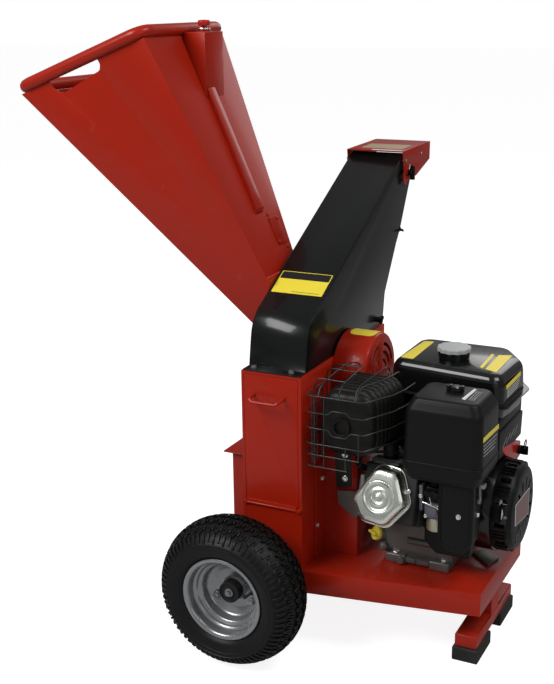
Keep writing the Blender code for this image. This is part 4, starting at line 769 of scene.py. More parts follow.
def build_tyre(name, frame_matrix):
    """The tyre: a ribbed carcass, four rows of tread blocks and the shoulder lugs."""
    half = [(0.0828, 0.052), (0.093, 0.052), (0.0958, 0.0545), (0.1, 0.059), (0.104, 0.06),
            (0.112, 0.0628), (0.118, 0.0636), (0.1186, 0.0642), (0.1198, 0.0642), (0.1204, 0.0638),
            (0.1265, 0.064), (0.1275, 0.065), (0.1285, 0.064), (0.1295, 0.0622), (0.134, 0.06),
            (0.139, 0.056), (0.144, 0.05), (0.15, 0.04), (0.155, 0.028), (0.1585, 0.014)]
    profile = half + [(0.1598, 0)] + [(r, -w) for r, w in reversed(half)]
    bm = turned(profile, 96, closed=True)
    for i, offset in enumerate(TREAD_ROWS):
        odd = i % 2
        stamp(bm, tread_row(offset, odd == 1),
              [Matrix.Rotation(tau * (k + 0.5 * odd) / TREAD_BLOCKS, 4, "Z")
               for k in range(TREAD_BLOCKS)])
    for side in (-1, 1):
        for odd, length in enumerate((0.8, 1)):
            stamp(bm, shoulder_lug(side, length),
                  [Matrix.Rotation(tau * k / SHOULDER_LUGS, 4, "Z")
                   for k in range(odd, SHOULDER_LUGS, 2)])
    bm.transform(frame_matrix)
    new_piece("tyre_tread_" + name, bm, "Tyre rubber", "wheel_" + name, ("tyre_" + name,))


def build_rim(name, frame_matrix):
    """The pressed rim with its rolled flange, stepped dish and hub tube."""
    front = [(0.0915, 0.0525), (0.0915, 0.0548), (0.0905, 0.0555), (0.087, 0.0555),
             (0.084, 0.0545), (0.0815, 0.052), (0.08, 0.048), (0.0795, 0.038), (0.0785, 0.0345),
             (0.0745, 0.0325), (0.0725, 0.03), (0.0718, 0.027), (0.07, 0.0245), (0.0655, 0.0225),
             (0.0635, 0.0195), (0.063, 0.008), (0.0615, 0.0035), (0.0575, 0.0008), (0.052, -0.001),
             (0.047, -0.0045), (0.042, -0.0063), (0.024, -0.0065)]
    back = [(0.024, -0.01), (0.044, -0.01), (0.06, -0.003), (0.063, -0.0035), (0.063, -0.025),
            (0.0755, -0.0335), (0.0795, -0.054), (0.085, -0.0555), (0.0915, -0.0555),
            (0.0915, -0.0525), (0.0825, -0.0525), (0.0815, -0.032), (0.066, -0.023),
            (0.066, 0.023), (0.0815, 0.032), (0.0825, 0.0525)]
    bm = turned(front + back, 96, closed=True)
    absorb(bm, turned([(0.0235, -0.0067), (0.0275, -0.0065), (0.0262, -0.0045), (0.0243, -0.0028),
                       (0.0235, -0.001)], 48, closed=True))
    bm.transform(frame_matrix)
    new_piece("rim_dish_" + name, bm, "Wheel silver", "wheel_" + name, ("rim_" + name,), angle=40)
    hub = turned([(0.0098, 0.0205), (0.012, 0.0205), (0.0132, 0.018), (0.015, 0.0176),
                  (0.0195, 0.0182), (0.0205, 0.0205), (0.0222, 0.0205), (0.0232, 0.0198),
                  (0.0235, 0.0185), (0.0235, -0.048), (0.0098, -0.048)], 48, closed=True)
    hub.transform(frame_matrix)
    new_piece("hub_" + name, hub, "Pad rubber", "wheel_" + name)


def build_wheel_fittings(name, frame_matrix):
    """Lug bolts, the valve and the axle's nut, which stays with the axle."""
    bolts = bmesh.new()
    for k in range(3):
        x, y = polar(LUG_CIRCLE, 90 + 120 * k)
        absorb(bolts, turned([(0, 0), (0.0092, 0), (0.0086, 0.0012), (0, 0.0014)], 24),
               at(x, y, -0.003))
        add_bolt(bolts, (x, y, -0.002), UP, 0.007, 0.5 * k)
    bolts.transform(frame_matrix)
    new_piece("lug_bolts_" + name, bolts, "Wheel silver", "wheel_" + name)
    valve = bmesh.new()
    foot, end = Vector((0.062, 0.016, 0.0085)), Vector((0.034, -0.006, 0.0165))
    for start, stop, thick, thin in ((0, 0.5, 0.0052, 0.0042), (0.5, 0.84, 0.0034, 0.0034),
                                     (0.84, 1, 0.0042, 0.0036)):
        add_rod(valve, foot.lerp(end, start), foot.lerp(end, stop), thick, 16, thin)
    valve.transform(frame_matrix)
    new_piece("valve_" + name, valve, "Pad rubber", "wheel_" + name)
    nut = bmesh.new()
    absorb(nut, turned([(0, 0.019), (0.0094, 0.019), (0.0094, 0.0206), (0.0088, 0.021),
                        (0, 0.021)], 32))
    head = bmesh.new()
    bmesh.ops.create_cone(head, cap_ends=True, segments=6, radius1=0.007, radius2=0.007,
                          depth=0.0056, matrix=at(0, 0, 0.0238))
    round_edges(head, corners_of(head), 0.0007)
    absorb(nut, head)
    add_rod(nut, (0, 0, 0.017), (0, 0, 0.0282), 0.004, 16)
    nut.transform(frame_matrix)
    new_piece("axle_nut_" + name, nut, "Grey steel")


def build_axle():
    """The axle's bar with its collars; it ends inside the hubs, behind the nuts."""
    half = [(0.0095, 0.279), (0.016, 0.279), (0.016, 0.283), (0.0095, 0.283), (0.0095, 0.35),
            (0, 0.35)]
    bar = turned([(r, -h) for r, h in reversed(half)] + half, 32)
    bar.transform(facing((0, 0, AXLE_Z), BACK))
    new_piece("axle_bar", bar, "Grey steel", replaces=("axle",))


def build_wheels():
    """Both wheels, each in a frame whose Z axis points outwards along the axle."""
    build_axle()
    for name, side in (("front", -1), ("back", 1)):
        matrix = facing((0, side * WHEEL_Y, AXLE_Z), (0, side, 0))
        build_tyre(name, matrix)
        build_rim(name, matrix)
        build_wheel_fittings(name, matrix)


# Softened copies of other CAD nodes

SOFT_NODES = {
    "foot_pad_front": 0.002, "foot_pad_back": 0.002, "crankcase": 0.0014, "cylinder": 0.0007,
    "fan_shroud": 0.0015, "starter_motor": 0.001, "bearing_left": 0.001, "bearing_right": 0.001,
    "throttle_lever": 0.0004, "choke_lever": 0.0004, "dipstick": 0.0007, "stop_button": 0.0005,
    "pulley_cowl": 0.0007, "hood_knob_left": 0.0007, "hood_knob_right": 0.0007,
    "chute_knob": 0.0007, "starter_grip": 0.001, "battery": 0.0015,
}


def build_soft_parts():
    """Copies moulded and cast nodes and rounds their edges."""
    for node, edge in SOFT_NODES.items():
        soften(node, "_soft", edge, 32)


# Blank patches, where the machine carries stickers, and a painted highlight on the hood's front
# edge

PATCH_DEPTH = 0.0004
PATCH_GAP = 0.0003
PATCH_STEPS = 12
CHUTE_BEND = (-0.1456, 0.7363)
CHUTE_RUN = (0.8813, 0.4725)
PLATE_MIDDLE = (0.008, 0.313)


def add_patch(bm, corners, radius=0.003):
    """A thin blank sticker over corners that run counter-clockwise as seen from outside."""
    sheet = bmesh.new()
    face = sheet.faces.new([sheet.verts.new(corner) for corner in corners])
    face.normal_update()
    lift = face.normal * PATCH_DEPTH
    grown = bmesh.ops.extrude_face_region(sheet, geom=[face])["geom"]
    raised = [v for v in grown if isinstance(v, bmesh.types.BMVert)]
    bmesh.ops.translate(sheet, verts=raised, vec=lift)
    face_outwards(sheet)
    sides = [e for e in sheet.edges if (e.verts[0] in raised) != (e.verts[1] in raised)]
    if radius:
        round_edges(sheet, sides, radius, 4)
    absorb(bm, sheet)


def chute_slope(x, along, height):
    """A point off the chute's sloping face, some way up from its bend."""
    (y, z), (run, rise) = CHUTE_BEND, CHUTE_RUN
    return (x, y + run * along - rise * height, z + rise * along + run * height)


def slope_patch(bm, x, along, height=PATCH_GAP, radius=0.002):
    add_patch(bm, [chute_slope(a, b, height) for a, b in oblong(x, along)], radius)


def tank_side(y, z):
    """A point just off the tank's right side."""
    return (0.4896 - (z - 0.549) * 0.075, y, z)


def cleaner_side(y, z):
    """A point just off the air cleaner's right side."""
    return (0.4901 - (z - 0.469) * 0.026, y, z)


def side_patch(bm, place, y, z, slant=0, radius=0.001):
    """A patch on a side wall between two y and two z, falling by slant along it."""
    add_patch(bm, [place(y[0], z[0]), place(y[1], z[0] - slant), place(y[1], z[1] - slant),
                   place(y[0], z[1])], radius)


def add_wrapped_patch(bm, x, around, corner, axis, radius, taper=0):
    """A patch bent round an axis along X, given as (y, z).

    around is two lengths of arc from the top; taper is how fast the radius shrinks along X.
    """
    sheet = bmesh.new()
    add_plate(sheet, rounded(oblong(x, around), corner, 5), PATCH_DEPTH)
    for k in range(1, PATCH_STEPS):
        cut = around[0] + (around[1] - around[0]) * k / PATCH_STEPS
        bmesh.ops.bisect_plane(sheet, geom=sheet.verts[:] + sheet.edges[:] + sheet.faces[:],
                               plane_co=(0, cut, 0), plane_no=BACK)
    for v in sheet.verts:
        along, arc, height = v.co
        reach = radius + height - taper * (along - x[0])
        angle = arc / radius
        v.co = (along, axis[0] + reach * sin(angle), axis[1] + reach * cos(angle))
    absorb(bm, face_outwards(sheet))


def flat_patch(bm, corners, z, radius=0.001):
    """A patch that looks up, over corners (x, y)."""
    add_patch(bm, [(x, y, z) for x, y in corners], radius)


def build_patches():
    """Blank patches in the stickers' colours, the plate on the starter cover, and a pale strip on
    the hood's front edge that is a painted highlight.
    """
    yellow, pale, dark = bmesh.new(), bmesh.new(), bmesh.new()
    slope_patch(yellow, (-0.019, 0.101), (0.052, 0.122))
    slope_patch(dark, (-0.017, 0.099), (0.098, 0.12), 0.0007)
    slope_patch(dark, (0.028, 0.092), (0.0575, 0.0585), 0.0007, 0)
    add_wrapped_patch(yellow, (0.122, 0.182), (-0.024, 0.048), 0.014, (SHAFT_Y, ROTOR_Z),
                      COWL_RADIUS + 0.0004)
    add_wrapped_patch(pale, (0.5025, 0.512), (-0.158, -0.114), 0.001, (SHAFT_Y, CRANK_Z), 0.0992,
                      0.25)
    top = TANK_TOP + PATCH_GAP
    flat_patch(yellow, [(0.24, 0.009), (0.27, 0.006), (0.268, 0.151), (0.246, 0.146)], top, 0.004)
    flat_patch(yellow, [(0.418, 0.01), (0.426, 0.005), (0.421, 0.11), (0.414, 0.111)], top)
    flat_patch(yellow, [(0.433, 0.001), (0.46, -0.012), (0.458, 0.119), (0.43, 0.11)], top)
    side_patch(yellow, tank_side, (-0.024, 0.084), (0.585, 0.594))
    for k in range(4):
        z = 0.58 - 0.0045 * k
        side_patch(pale, tank_side, (-0.02, 0.078 - 0.006 * k), (z, z + 0.0011), 0, 0)
    side_patch(yellow, cleaner_side, (-0.184, -0.078), (0.524, 0.534), 0.005)
    for k in range(4):
        z = 0.515 - 0.007 * k
        side_patch(pale, cleaner_side, (-0.182, -0.088 - 0.006 * k), (z, z + 0.0007), 0.005, 0)
    top = CLEANER_TOP + PATCH_GAP
    flat_patch(pale, [(0.434, -0.16), (0.442, -0.164), (0.444, -0.092), (0.438, -0.09)], top)
    for x in (0.4485, 0.4535, 0.4585):
        flat_patch(pale, oblong((x, x + 0.0006), (-0.162, -0.104)), top, 0)
    new_piece("patches_yellow", yellow, "Yellow patch")
    new_piece("patches_pale", pale, "Pale patch")
    new_piece("patches_dark", dark, "Dark patch")
    # A pale strip along the hood's front edge: a painted highlight where that edge catches the
    # light, not a sticker.
    hood = bmesh.new()
    add_patch(hood, [(0.03, 0.3435, 1.0162), (0.108, 0.3435, 1.0162), (0.108, 0.356, 1.0165),
                     (0.03, 0.356, 1.0165)], 0.001)
    new_piece("painted_highlight_hood", hood, "Pale patch", "hood_body")
    label = bmesh.new()
    add_patch(label, [(x, y, 1.0158 + 0.0239 * (y - 0.343))
                      for x, y in oblong((-0.01, 0.098), (0.375, 0.445))], 0.003)
    new_piece("label_hood", label, "Beige patch", "hood_body")
    corners = [(-0.05, 0.342), (-0.046, 0.292), (0.062, 0.277), (0.062, 0.34)]
    for name, look, face, grow in (("patch_recoil_border", "Pale patch", RECOIL_END - 0.0009, 1),
                                   ("patch_recoil", "Brown patch", RECOIL_END - 0.0005, 0.93)):
        plate = bmesh.new()
        middle_y, middle_z = PLATE_MIDDLE
        add_patch(plate, [(face, middle_y + (y - middle_y) * grow,
                           middle_z + (z - middle_z) * grow) for y, z in corners])
        new_piece(name, plate, look)


# Hopper and chute

def mouth_frame():
    """A frame in the plane of the hopper's mouth: X up its slope, Y across it."""
    run = (Vector(MOUTH_HIGH) - Vector(MOUTH_LOW)).normalized()
    return at(MOUTH_LOW[0], 0, MOUTH_LOW[2]) @ axes(run, BACK, (-run.z, 0, run.x))


def build_hopper_fittings():
    """The mouth's round tube and welds, flange bolts, face plate and stop button's rings."""
    matrix = mouth_frame()
    length = hypot(MOUTH_HIGH[0] - MOUTH_LOW[0], MOUTH_HIGH[2] - MOUTH_LOW[2])
    half = MOUTH_LOW[1]
    path = rounded(oblong((RIM_TUBE_INSET, length), (-half, half)), 0.03, 8)
    tube = bmesh.new()
    add_tube(tube, [matrix @ Vector((a, b, RIM_TUBE_RADIUS + 0.0003)) for a, b in path],
             RIM_TUBE_RADIUS, cyclic=True, resolution=7)
    new_piece("rim_tube", tube, "Red paint", replaces=("hopper_rim",), angle=60)
    beads = bmesh.new()
    wall = half - 0.0022
    for start, end in (((0.012, -wall), (length - 0.012, -wall)),
                       ((0.012, wall), (length - 0.012, wall))):
        add_bead(beads, matrix @ Vector((*start, 0.0012)), matrix @ Vector((*end, 0.0012)), 0.0016)
    new_piece("mouth_welds", beads, "Red paint")
    bolts = [((-0.0325, y, z), LEFT, 0.006) for y, z in ((-0.089, 0.64), (0.089, 0.64),
                                                         (0.089, 0.705), (0.089, 0.775))]
    new_piece("flange_bolts", add_bolts(bmesh.new(), bolts), "Bright steel")
    face = Vector((MOUTH_HIGH[0] - NECK_HIGH[0], 0, MOUTH_HIGH[2] - NECK_HIGH[2])).normalized()
    out = Vector((face.z, 0, -face.x))
    matrix = axes(BACK, face, out)
    low = Vector((NECK_HIGH[0], 0, NECK_HIGH[2])) + out * 0.0003
    plate = bmesh.new()
    add_plate(plate, rounded(oblong((0.03, 0.072), (0.08, 0.145)), 0.004, 3), 0.0022,
              Matrix.Translation(low) @ matrix, 0.0006)
    rivet = turned([(0, 0), (0.0042, 0), (0.0036, 0.0016), (0.002, 0.0024), (0, 0.0026)], 16)
    spots = ((0.036, 0.152, 0), (0.066, 0.07, 0), (0.036, 0.087, 0.0022), (0.066, 0.138, 0.0022))
    stamp(plate, rivet, [Matrix.Translation(low + out * height) @ matrix @ at(across, up, 0)
                         for across, up, height in spots])
    new_piece("face_plate", plate, "Red paint")
    for name, look, low, high in (("stop_ring_low", "Gloss plastic", 1.3022, 1.305),
                                  ("stop_ring_high", "Bright steel", 1.3052, 1.3082)):
        ring = turned([(0.0122, low), (0.0136, low), (0.0139, low + 0.0008),
                       (0.0139, high - 0.0008), (0.0136, high), (0.0122, high)], 40, closed=True)
        ring.transform(at(*STOP_BUTTON, 0))
        new_piece(name, ring, look)


def add_wing_screw(bm, place, direction, turn, size):
    """A screw with a moulded head whose two wings reach out by size."""
    matrix = facing(place, direction, turn)
    absorb(bm, turned([(0, 0), (0.007, 0), (0.0062, 0.009), (0, 0.009)], 20), matrix)
    for side in (-1, 1):
        inner, outer = sorted((0, side * size))
        add_block(bm, (inner, -0.0022, 0.003), (outer, 0.0022, 0.012), matrix, 0.0014, 3)


def build_chute_fittings():
    """Flange bolts, the two wing screws, the hood's rivets and the chute's seams."""
    bolts = [((x, -0.206, 0.6208), UP, 0.0062) for x in (-0.008, 0.08)]
    new_piece("chute_bolts", add_bolts(bmesh.new(), bolts), "Grey steel")
    screws = bmesh.new()
    add_wing_screw(screws, (0.106, 0.214, 0.634), RIGHT, 0.9, 0.01)
    add_wing_screw(screws, (0.1, 0.3475, 0.83), (0, 0.86, -0.5), 0.2, 0.013)
    new_piece("wing_screws", screws, "Black plastic")
    rivets = bmesh.new()
    for x in HOOD_X:
        side = copysign(1, x)
        add_bolt(rivets, (x, 0.355, 0.992), (side, 0, 0), 0.005)
        absorb(rivets, turned([(0, 0), (0.0045, 0), (0.0036, 0.0018), (0, 0.0026)], 16),
               facing((x, 0.47, 0.996), (side, 0, 0)))
    new_piece("hood_rivets", rivets, "Grey steel", "hood_body")
    seams = bmesh.new()
    for x in CHUTE_X:
        inner = x - copysign(0.001, x)
        add_tube(seams, [chute_slope(inner, along, -0.0004) for along in (0.004, 0.572)], 0.001)
    new_piece("chute_seams", seams, "Black paint")


def build_housing_fittings():
    """Bolts of the housing, bearings, engine feet and belt guard, and the weld beads."""
    bolts = bmesh.new()
    add_bolts(bolts, [((0.1131, y, z), RIGHT, 0.0056)
                      for y, z in ((-0.15, 0.257), (-0.125, 0.36))])
    for y in BEARING_BOLTS:
        for z in BEARING_BOLTS:
            add_bolt(bolts, (HOUSING_X[0] - 0.0123, SHAFT_Y + y, ROTOR_Z + z), LEFT, 0.0078)
    add_bolts(bolts, [((x, y, DECK_TOP + 0.0202), UP, 0.008)
                      for x in (0.274, 0.383) for y in (-0.084, 0.126)])
    new_piece("machine_bolts", bolts, "Bright steel")
    red = bmesh.new()
    add_bolts(red, [((BELT_GUARD_SIDE, y, z), RIGHT, 0.005)
                    for y, z in ((-0.09, 0.2), (0.13, 0.2), (0.13, 0.4), (-0.085, 0.4))])
    for y in (-0.0255, 0.0255):
        add_bead(red, (0.432, y, 0.062), (0.473, y, 0.062), 0.0012)
    add_bead(red, (HOUSING_X[0] + 0.006, HOUSING_Y[0] - 0.0004, WELD_Z),
             (HOUSING_X[1] - 0.006, HOUSING_Y[0] - 0.0004, WELD_Z), 0.0012)
    add_bead(red, (HOUSING_X[1] + 0.0004, HOUSING_Y[0] + 0.006, WELD_Z),
             (HOUSING_X[1] + 0.0004, -0.17, WELD_Z), 0.0012)
    new_piece("housing_fixings", red, "Red paint")


# Engine

def lofted(rings):
    """A closed bmesh that bridges rings of points, each to the next."""
    bm = bmesh.new()
    rows = [[bm.verts.new(point) for point in ring] for ring in rings]
    loops = [[bm.edges.new((row[i - 1], row[i])) for i in range(len(row))] for row in rows]
    for near, far in zip(loops, loops[1:]):
        bmesh.ops.bridge_loops(bm, edges=near + far)
    bm.faces.new(rows[0])
    bm.faces.new(rows[-1])
    return face_outwards(bm)


def build_valve_cover():
    """The pressed rocker cover with its rings, nut and bolts, and the head's fins."""
    middle, grow = (0.2745, -0.0065), 1.08
    corners = [(-0.0635, -0.013), (-0.0395, -0.056), (0.0165, -0.062), (0.06, -0.008),
               (0.0355, 0.057), (-0.0145, 0.064)]
    outline = rounded([(middle[0] + x * grow, middle[1] + w * grow) for x, w in corners], 0.024, 8)
    levels = [(0.1925, 0.995), (0.193, 1), (0.1952, 1), (0.196, 0.994), (0.1966, 0.96),
              (0.1975, 0.94), (0.2, 0.93), (0.212, 0.905), (0.218, 0.88), (0.222, 0.845),
              (0.2245, 0.8), (0.2262, 0.74), (0.227, 0.66)]
    bm = layers(outline, levels, middle)
    place = at(*middle, 0)
    absorb(bm, turned([(0.0362, 0.2266), (0.0354, 0.2284), (0.034, 0.2296), (0.0326, 0.23),
                       (0.0312, 0.2294), (0.0298, 0.2282), (0.0282, 0.2272), (0.017, 0.2278),
                       (0.0158, 0.2288), (0.0146, 0.2278), (0.0132, 0.2273), (0, 0.2272)], 64),
           place)
    absorb(bm, turned([(0, 0.226), (0.0088, 0.2262), (0.0086, 0.2288), (0.006, 0.2292),
                       (0.0058, 0.2318), (0.004, 0.2322), (0, 0.2322)], 24), place)
    bm.transform(cylinder_frame())
    new_piece("rocker_cover", bm, "Bright steel", replaces=("valve_cover",), angle=50)
    bolts = bmesh.new()
    for x, w in ((0.054, 0.019), (-0.056, -0.028), (-0.006, -0.06), (0.011, 0.059)):
        add_bolt(bolts, (middle[0] + x, middle[1] + w, 0.1966), UP, 0.0046, x * 30)
    add_bolt(bolts, (*middle, 0.232), UP, 0.0042)
    bolts.transform(cylinder_frame())
    new_piece("rocker_bolts", bolts, "Bright steel")
    fins = bmesh.new()
    for k in range(5):
        u = 0.148 + 0.0085 * k
        add_block(fins, (0.234, 0.02, u), (0.306 - 0.002 * k, 0.074 - 0.001 * k, u + 0.0032),
                  cylinder_frame(), 0.0012)
    add_block(fins, (0.24, 0.03, 0.146), (0.298, 0.067, 0.19), cylinder_frame(), 0.004, 3)
    new_piece("head_fins", fins, "Cast alloy")


def build_engine_details():
    """The castings' bosses, brackets and bolts, the plug lead and the shroud's skirt."""
    cast = bmesh.new()
    frame_matrix = cylinder_frame()
    add_block(cast, (0.214, -0.03, 0.168), (0.226, 0.03, 0.188), frame_matrix, 0.003, 3)
    add_plate(cast, rounded([(0.213, -0.058), (0.226, -0.058), (0.226, 0.01), (0.213, 0)], 0.003),
              0.02, frame_matrix @ at(0, 0, 0.15), 0.002)
    low = DECK_TOP
    for x in (0.3, 0.33, 0.36):
        add_block(cast, (x, -0.0965, low + 0.006), (x + 0.022, -0.0945, low + 0.016))
    absorb(cast, turned([(0, 0), (0.0085, 0), (0.0085, 0.01), (0.007, 0.012), (0, 0.012)], 24),
           facing((0.29, -0.094, low + 0.011), FRONT))
    add_rod(cast, (0.3, -0.083, 0.232), (0.396, -0.083, 0.232), 0.0085, 20)
    new_piece("casting_details", cast, "Cast alloy")
    bolts = bmesh.new()
    add_bolts(bolts, [((0.247, -0.1003, low + 0.0343), FRONT, 0.006),
                      ((0.235, -0.062, 0.3), LEFT, 0.005)])
    for k in range(8):
        y, z = polar(0.0715, 45 * k + 20)
        add_bolt(bolts, (0.2383, SHAFT_Y + y, CRANK_Z + z), LEFT, 0.0048, radians(45 * k + 20))
    new_piece("engine_bolts", bolts, "Grey steel")
    lead = bmesh.new()
    add_rod(lead, frame_matrix @ Vector((0.222, 0.044, 0.176)),
            frame_matrix @ Vector((0.214, 0.05, 0.206)), 0.0075, 20, 0.006)
    route = [(0.214, 0.05, 0.204), (0.211, 0.056, 0.216), (0.216, 0.07, 0.214),
             (0.24, 0.082, 0.196), (0.29, 0.086, 0.17)]
    add_tube(lead, smooth_path([frame_matrix @ Vector(p) for p in route]), 0.0032)
    new_piece("plug_lead", lead, "Black plastic")
    pale = bmesh.new()
    add_plate(pale, [(0.148, 0.334), (0.15, 0.305), (0.168, 0.292), (0.191, 0.277), (0.2, 0.29),
                     (0.2, 0.342)], 0.004, upright(-0.118), 0.001)
    add_plate(pale, [(0.415, 0.015), (0.465, -0.029), (0.477, 0.013), (0.435, 0.041)], 0.005,
              at(0, 0, low + 0.0003), 0.0008)
    new_piece("cast_brackets", pale, "Cast alloy")
    bracket = bmesh.new()
    add_plate(bracket, [(0.159, 0.462), (0.164, 0.361), (0.199, 0.368), (0.198, 0.462)], 0.004,
              upright(-0.16), 0.001)
    new_piece("port_bracket", bracket, "Silencer black")
    skirt = bmesh.new()
    add_plate(skirt, rounded([(0.352, 0.3), (0.352, 0.262), (0.378, 0.236), (0.452, 0.236),
                              (0.458, 0.3)], 0.008), 0.03, upright(-0.098), 0.003, 3)
    add_block(skirt, (0.396, -0.135, 0.275), (0.456, -0.06, 0.43), edge=0.004, segments=3)
    new_piece("shroud_skirt", skirt, "Black plastic")
    bolts = [((0.1845, -0.164, z), FRONT, 0.0062) for z in (0.44, 0.386)]
    new_piece("port_bolts", add_bolts(bmesh.new(), bolts), "Bright steel")


def build_carburettor():
    """The carburettor with its bowl, neck, screws and linkage."""
    body = bmesh.new()
    add_block(body, (0.356, -0.149, 0.322), (0.394, -0.094, 0.357), edge=0.006, segments=4)
    absorb(body, turned([(0, 0), (0.011, 0), (0.011, 0.0035), (0.0085, 0.004), (0, 0.004)], 32),
           facing((0.376, -0.149, 0.341), FRONT))
    add_block(body, (0.3465, -0.152, 0.34), (0.3545, -0.09, 0.396), edge=0.0016, segments=3)
    new_piece("carburettor_body", body, "Grey casting", replaces=("carburettor",))
    neck = bmesh.new()
    add_block(neck, (0.352, -0.142, 0.356), (0.392, -0.096, 0.392), edge=0.006, segments=4)
    add_rod(neck, (0.374, -0.12, 0.39), (0.374, -0.12, 0.436), 0.0178, 32)
    new_piece("carburettor_neck", neck, "Silencer black")
    bowl = bmesh.new()
    absorb(bowl, turned([(0, 0.29), (0.015, 0.2902), (0.0185, 0.292), (0.0198, 0.295),
                         (0.0198, 0.316), (0.02, 0.319), (0.02, 0.3215), (0, 0.3215)], 40),
           at(0.376, -0.125, 0))
    new_piece("float_bowl", bowl, "Bowl plate")
    small = bmesh.new()
    add_bolts(small, [((0.376, -0.125, 0.2902), DOWN, 0.006),
                      ((0.388, -0.1492, 0.351), FRONT, 0.0036),
                      ((0.361, -0.1492, 0.328), FRONT, 0.0036),
                      ((0.3505, -0.152, 0.372), FRONT, 0.004)])
    add_rod(small, (0.356, -0.156, 0.3615), (0.393, -0.156, 0.3535), 0.0022, 12)
    add_rod(small, (0.3715, -0.157, 0.3755), (0.376, -0.157, 0.359), 0.0012, 10)
    new_piece("linkage", small, "Bright steel")


def build_tank():
    """The tank with its seam flange, filler neck and saddle, and the scalloped cap."""
    corners = [(0.222, -0.01), (0.482, -0.044), (0.489, 0.11), (0.44, 0.185), (0.222, 0.185)]
    outline = rounded(corners, 0.026, 10)
    middle = (0.35, 0.075)
    levels = [(0.4705, 0.72), (0.499, 0.85), (0.506, 0.905), (0.512, 0.95), (0.52, 0.97),
              (0.544, 1), (0.5445, 1.005), (0.5446, 1.08), (0.545, 1.088), (0.5458, 1.09),
              (0.5474, 1.09), (0.5482, 1.088), (0.5485, 1.08), (0.5486, 1.004), (0.5495, 1),
              (0.59, 0.985), (0.598, 0.975), (0.604, 0.958), (0.609, 0.93), (0.613, 0.895),
              (TANK_TOP, 0.86)]
    bm = layers(outline, levels, middle)
    place = at(*CAP_PLACE, 0)
    absorb(bm, turned([(0.031, TANK_TOP - 0.001), (0.031, 0.617), (0.029, 0.618), (0.0262, 0.6182),
                       (0.0262, 0.623), (0, 0.623)], 40), place)
    new_piece("tank_shell", bm, "Tank plastic", replaces=("fuel_tank",), angle=45)
    saddle = bmesh.new()
    add_block(saddle, (0.236, -0.04, 0.428), (0.402, 0.15, 0.4995), edge=0.004, segments=3)
    new_piece("tank_saddle", saddle, "Black plastic")
    skirt = turned([(0.0285, 0.6182), (0.0325, 0.6182), (0.0336, 0.619), (0.0345, 0.631),
                    (0.0345, 0.6335), (0.0285, 0.6335)], 48, closed=True)
    skirt.transform(place)
    new_piece("cap_skirt", skirt, "Tank plastic", "tank_cap", ("fuel_cap",))
    ring = [polar(0.0358 + 0.0013 * cos(tau * k / CAP_STEPS), 360 * k / (CAP_LOBES * CAP_STEPS))
            for k in range(CAP_LOBES * CAP_STEPS)]
    top = layers(ring, [(0.632, 0.97), (0.633, 1), (0.6395, 1), (0.6412, 0.985), (0.642, 0.95),
                        (0.6418, 0.8), (0.6404, 0.76), (0.6402, 0.3), (0.6408, 0.28),
                        (0.6408, 0.1)], (0, 0))
    top.transform(place)
    new_piece("cap_top", top, "Cap grey", "tank_cap", angle=50)


def build_air_cleaner():
    """The air cleaner's cover with its seam lip, its base with the leg, and its knob."""
    outline = rounded(oblong(CLEANER_X, CLEANER_Y), 0.022, 10)
    middle = ((CLEANER_X[0] + CLEANER_X[1]) / 2, (CLEANER_Y[0] + CLEANER_Y[1]) / 2)
    seam = CLEANER_SEAM
    levels = [(seam, 1.014), (seam + 0.0006, 1.02), (seam + 0.0034, 1.02), (seam + 0.0042, 1.014),
              (seam + 0.0044, 1.002), (seam + 0.0052, 1), (0.564, 0.9705), (0.568, 0.968),
              (0.573, 0.96), (0.5765, 0.948), (0.59, 0.865), (0.595, 0.83), (0.5975, 0.805),
              (0.599, 0.775), (CLEANER_TOP, 0.72)]
    cover = layers(outline, levels, middle)
    new_piece("cleaner_cover", cover, "Black plastic", replaces=("air_cleaner_cover",), angle=50)
    base = layers(outline, [(0.425, 0.86), (0.433, 0.94), (0.448, 1), (seam - 0.0003, 1.01)],
                  middle)
    leg = rounded([(0.397, 0.445), (0.397, 0.3), (0.415, 0.273), (0.452, 0.27), (0.472, 0.295),
                   (0.472, 0.445)], 0.016, 6)
    add_plate(base, leg, 0.052, at(0, -0.18, 0) @ axes(RIGHT, UP, BACK), 0.005, 4)
    new_piece("cleaner_base", base, "Black plastic", replaces=("air_cleaner_base",), angle=40)
    x, y = CLEANER_KNOB
    knob = turned([(0, CLEANER_TOP + 0.0003), (0.0125, CLEANER_TOP + 0.0003),
                   (0.0128, CLEANER_TOP + 0.004), (0.0118, CLEANER_TOP + 0.01),
                   (0.01, CLEANER_TOP + 0.0118), (0, CLEANER_TOP + 0.0124)], 40)
    knob.transform(at(x, y, 0))
    for side in (-1, 1):
        ends = sorted((side * 0.006, side * 0.0185))
        add_block(knob, (x + ends[0], y - 0.004, CLEANER_TOP + 0.0006),
                  (x + ends[1], y + 0.004, CLEANER_TOP + 0.0138), edge=0.002, segments=3)
    add_rod(knob, (x, y, 0.5915), (x, y, CLEANER_TOP + 0.001), 0.0034, 16)
    new_piece("cleaner_wing_knob", knob, "Tank plastic", "filter_knob", ("cleaner_knob",))
    bolts = [((0.442, -0.18, 0.354), FRONT, 0.0052), ((0.4722, -0.15, 0.352), RIGHT, 0.0048)]
    new_piece("cleaner_bolts", add_bolts(bmesh.new(), bolts), "Bright steel")
    rib = bmesh.new()
    route = [(0.404, 0.435), (0.4042, 0.31), (0.413, 0.287), (0.433, 0.28), (0.453, 0.286),
             (0.464, 0.306), (0.4652, 0.435)]
    add_tube(rib, smooth_path([(x, -0.1803, z) for x, z in route]), 0.0013)
    new_piece("cleaner_leg_rib", rib, "Black plastic")


def muffler_ring(y, swell):
    """A rounded section across the muffler, a little wider towards the back."""
    back = (y - MUFFLER_Y[0]) / (MUFFLER_Y[1] - MUFFLER_Y[0])
    right = MUFFLER_X[1] + 0.016 * back
    x = (MUFFLER_X[0] + 0.004 - swell, right - 0.004 + swell)
    z = (MUFFLER_Z[0] + 0.004 - swell, MUFFLER_Z[1] - 0.004 + swell)
    return [(a, y, b) for a, b in rounded(oblong(x, z), 0.034, 8)]


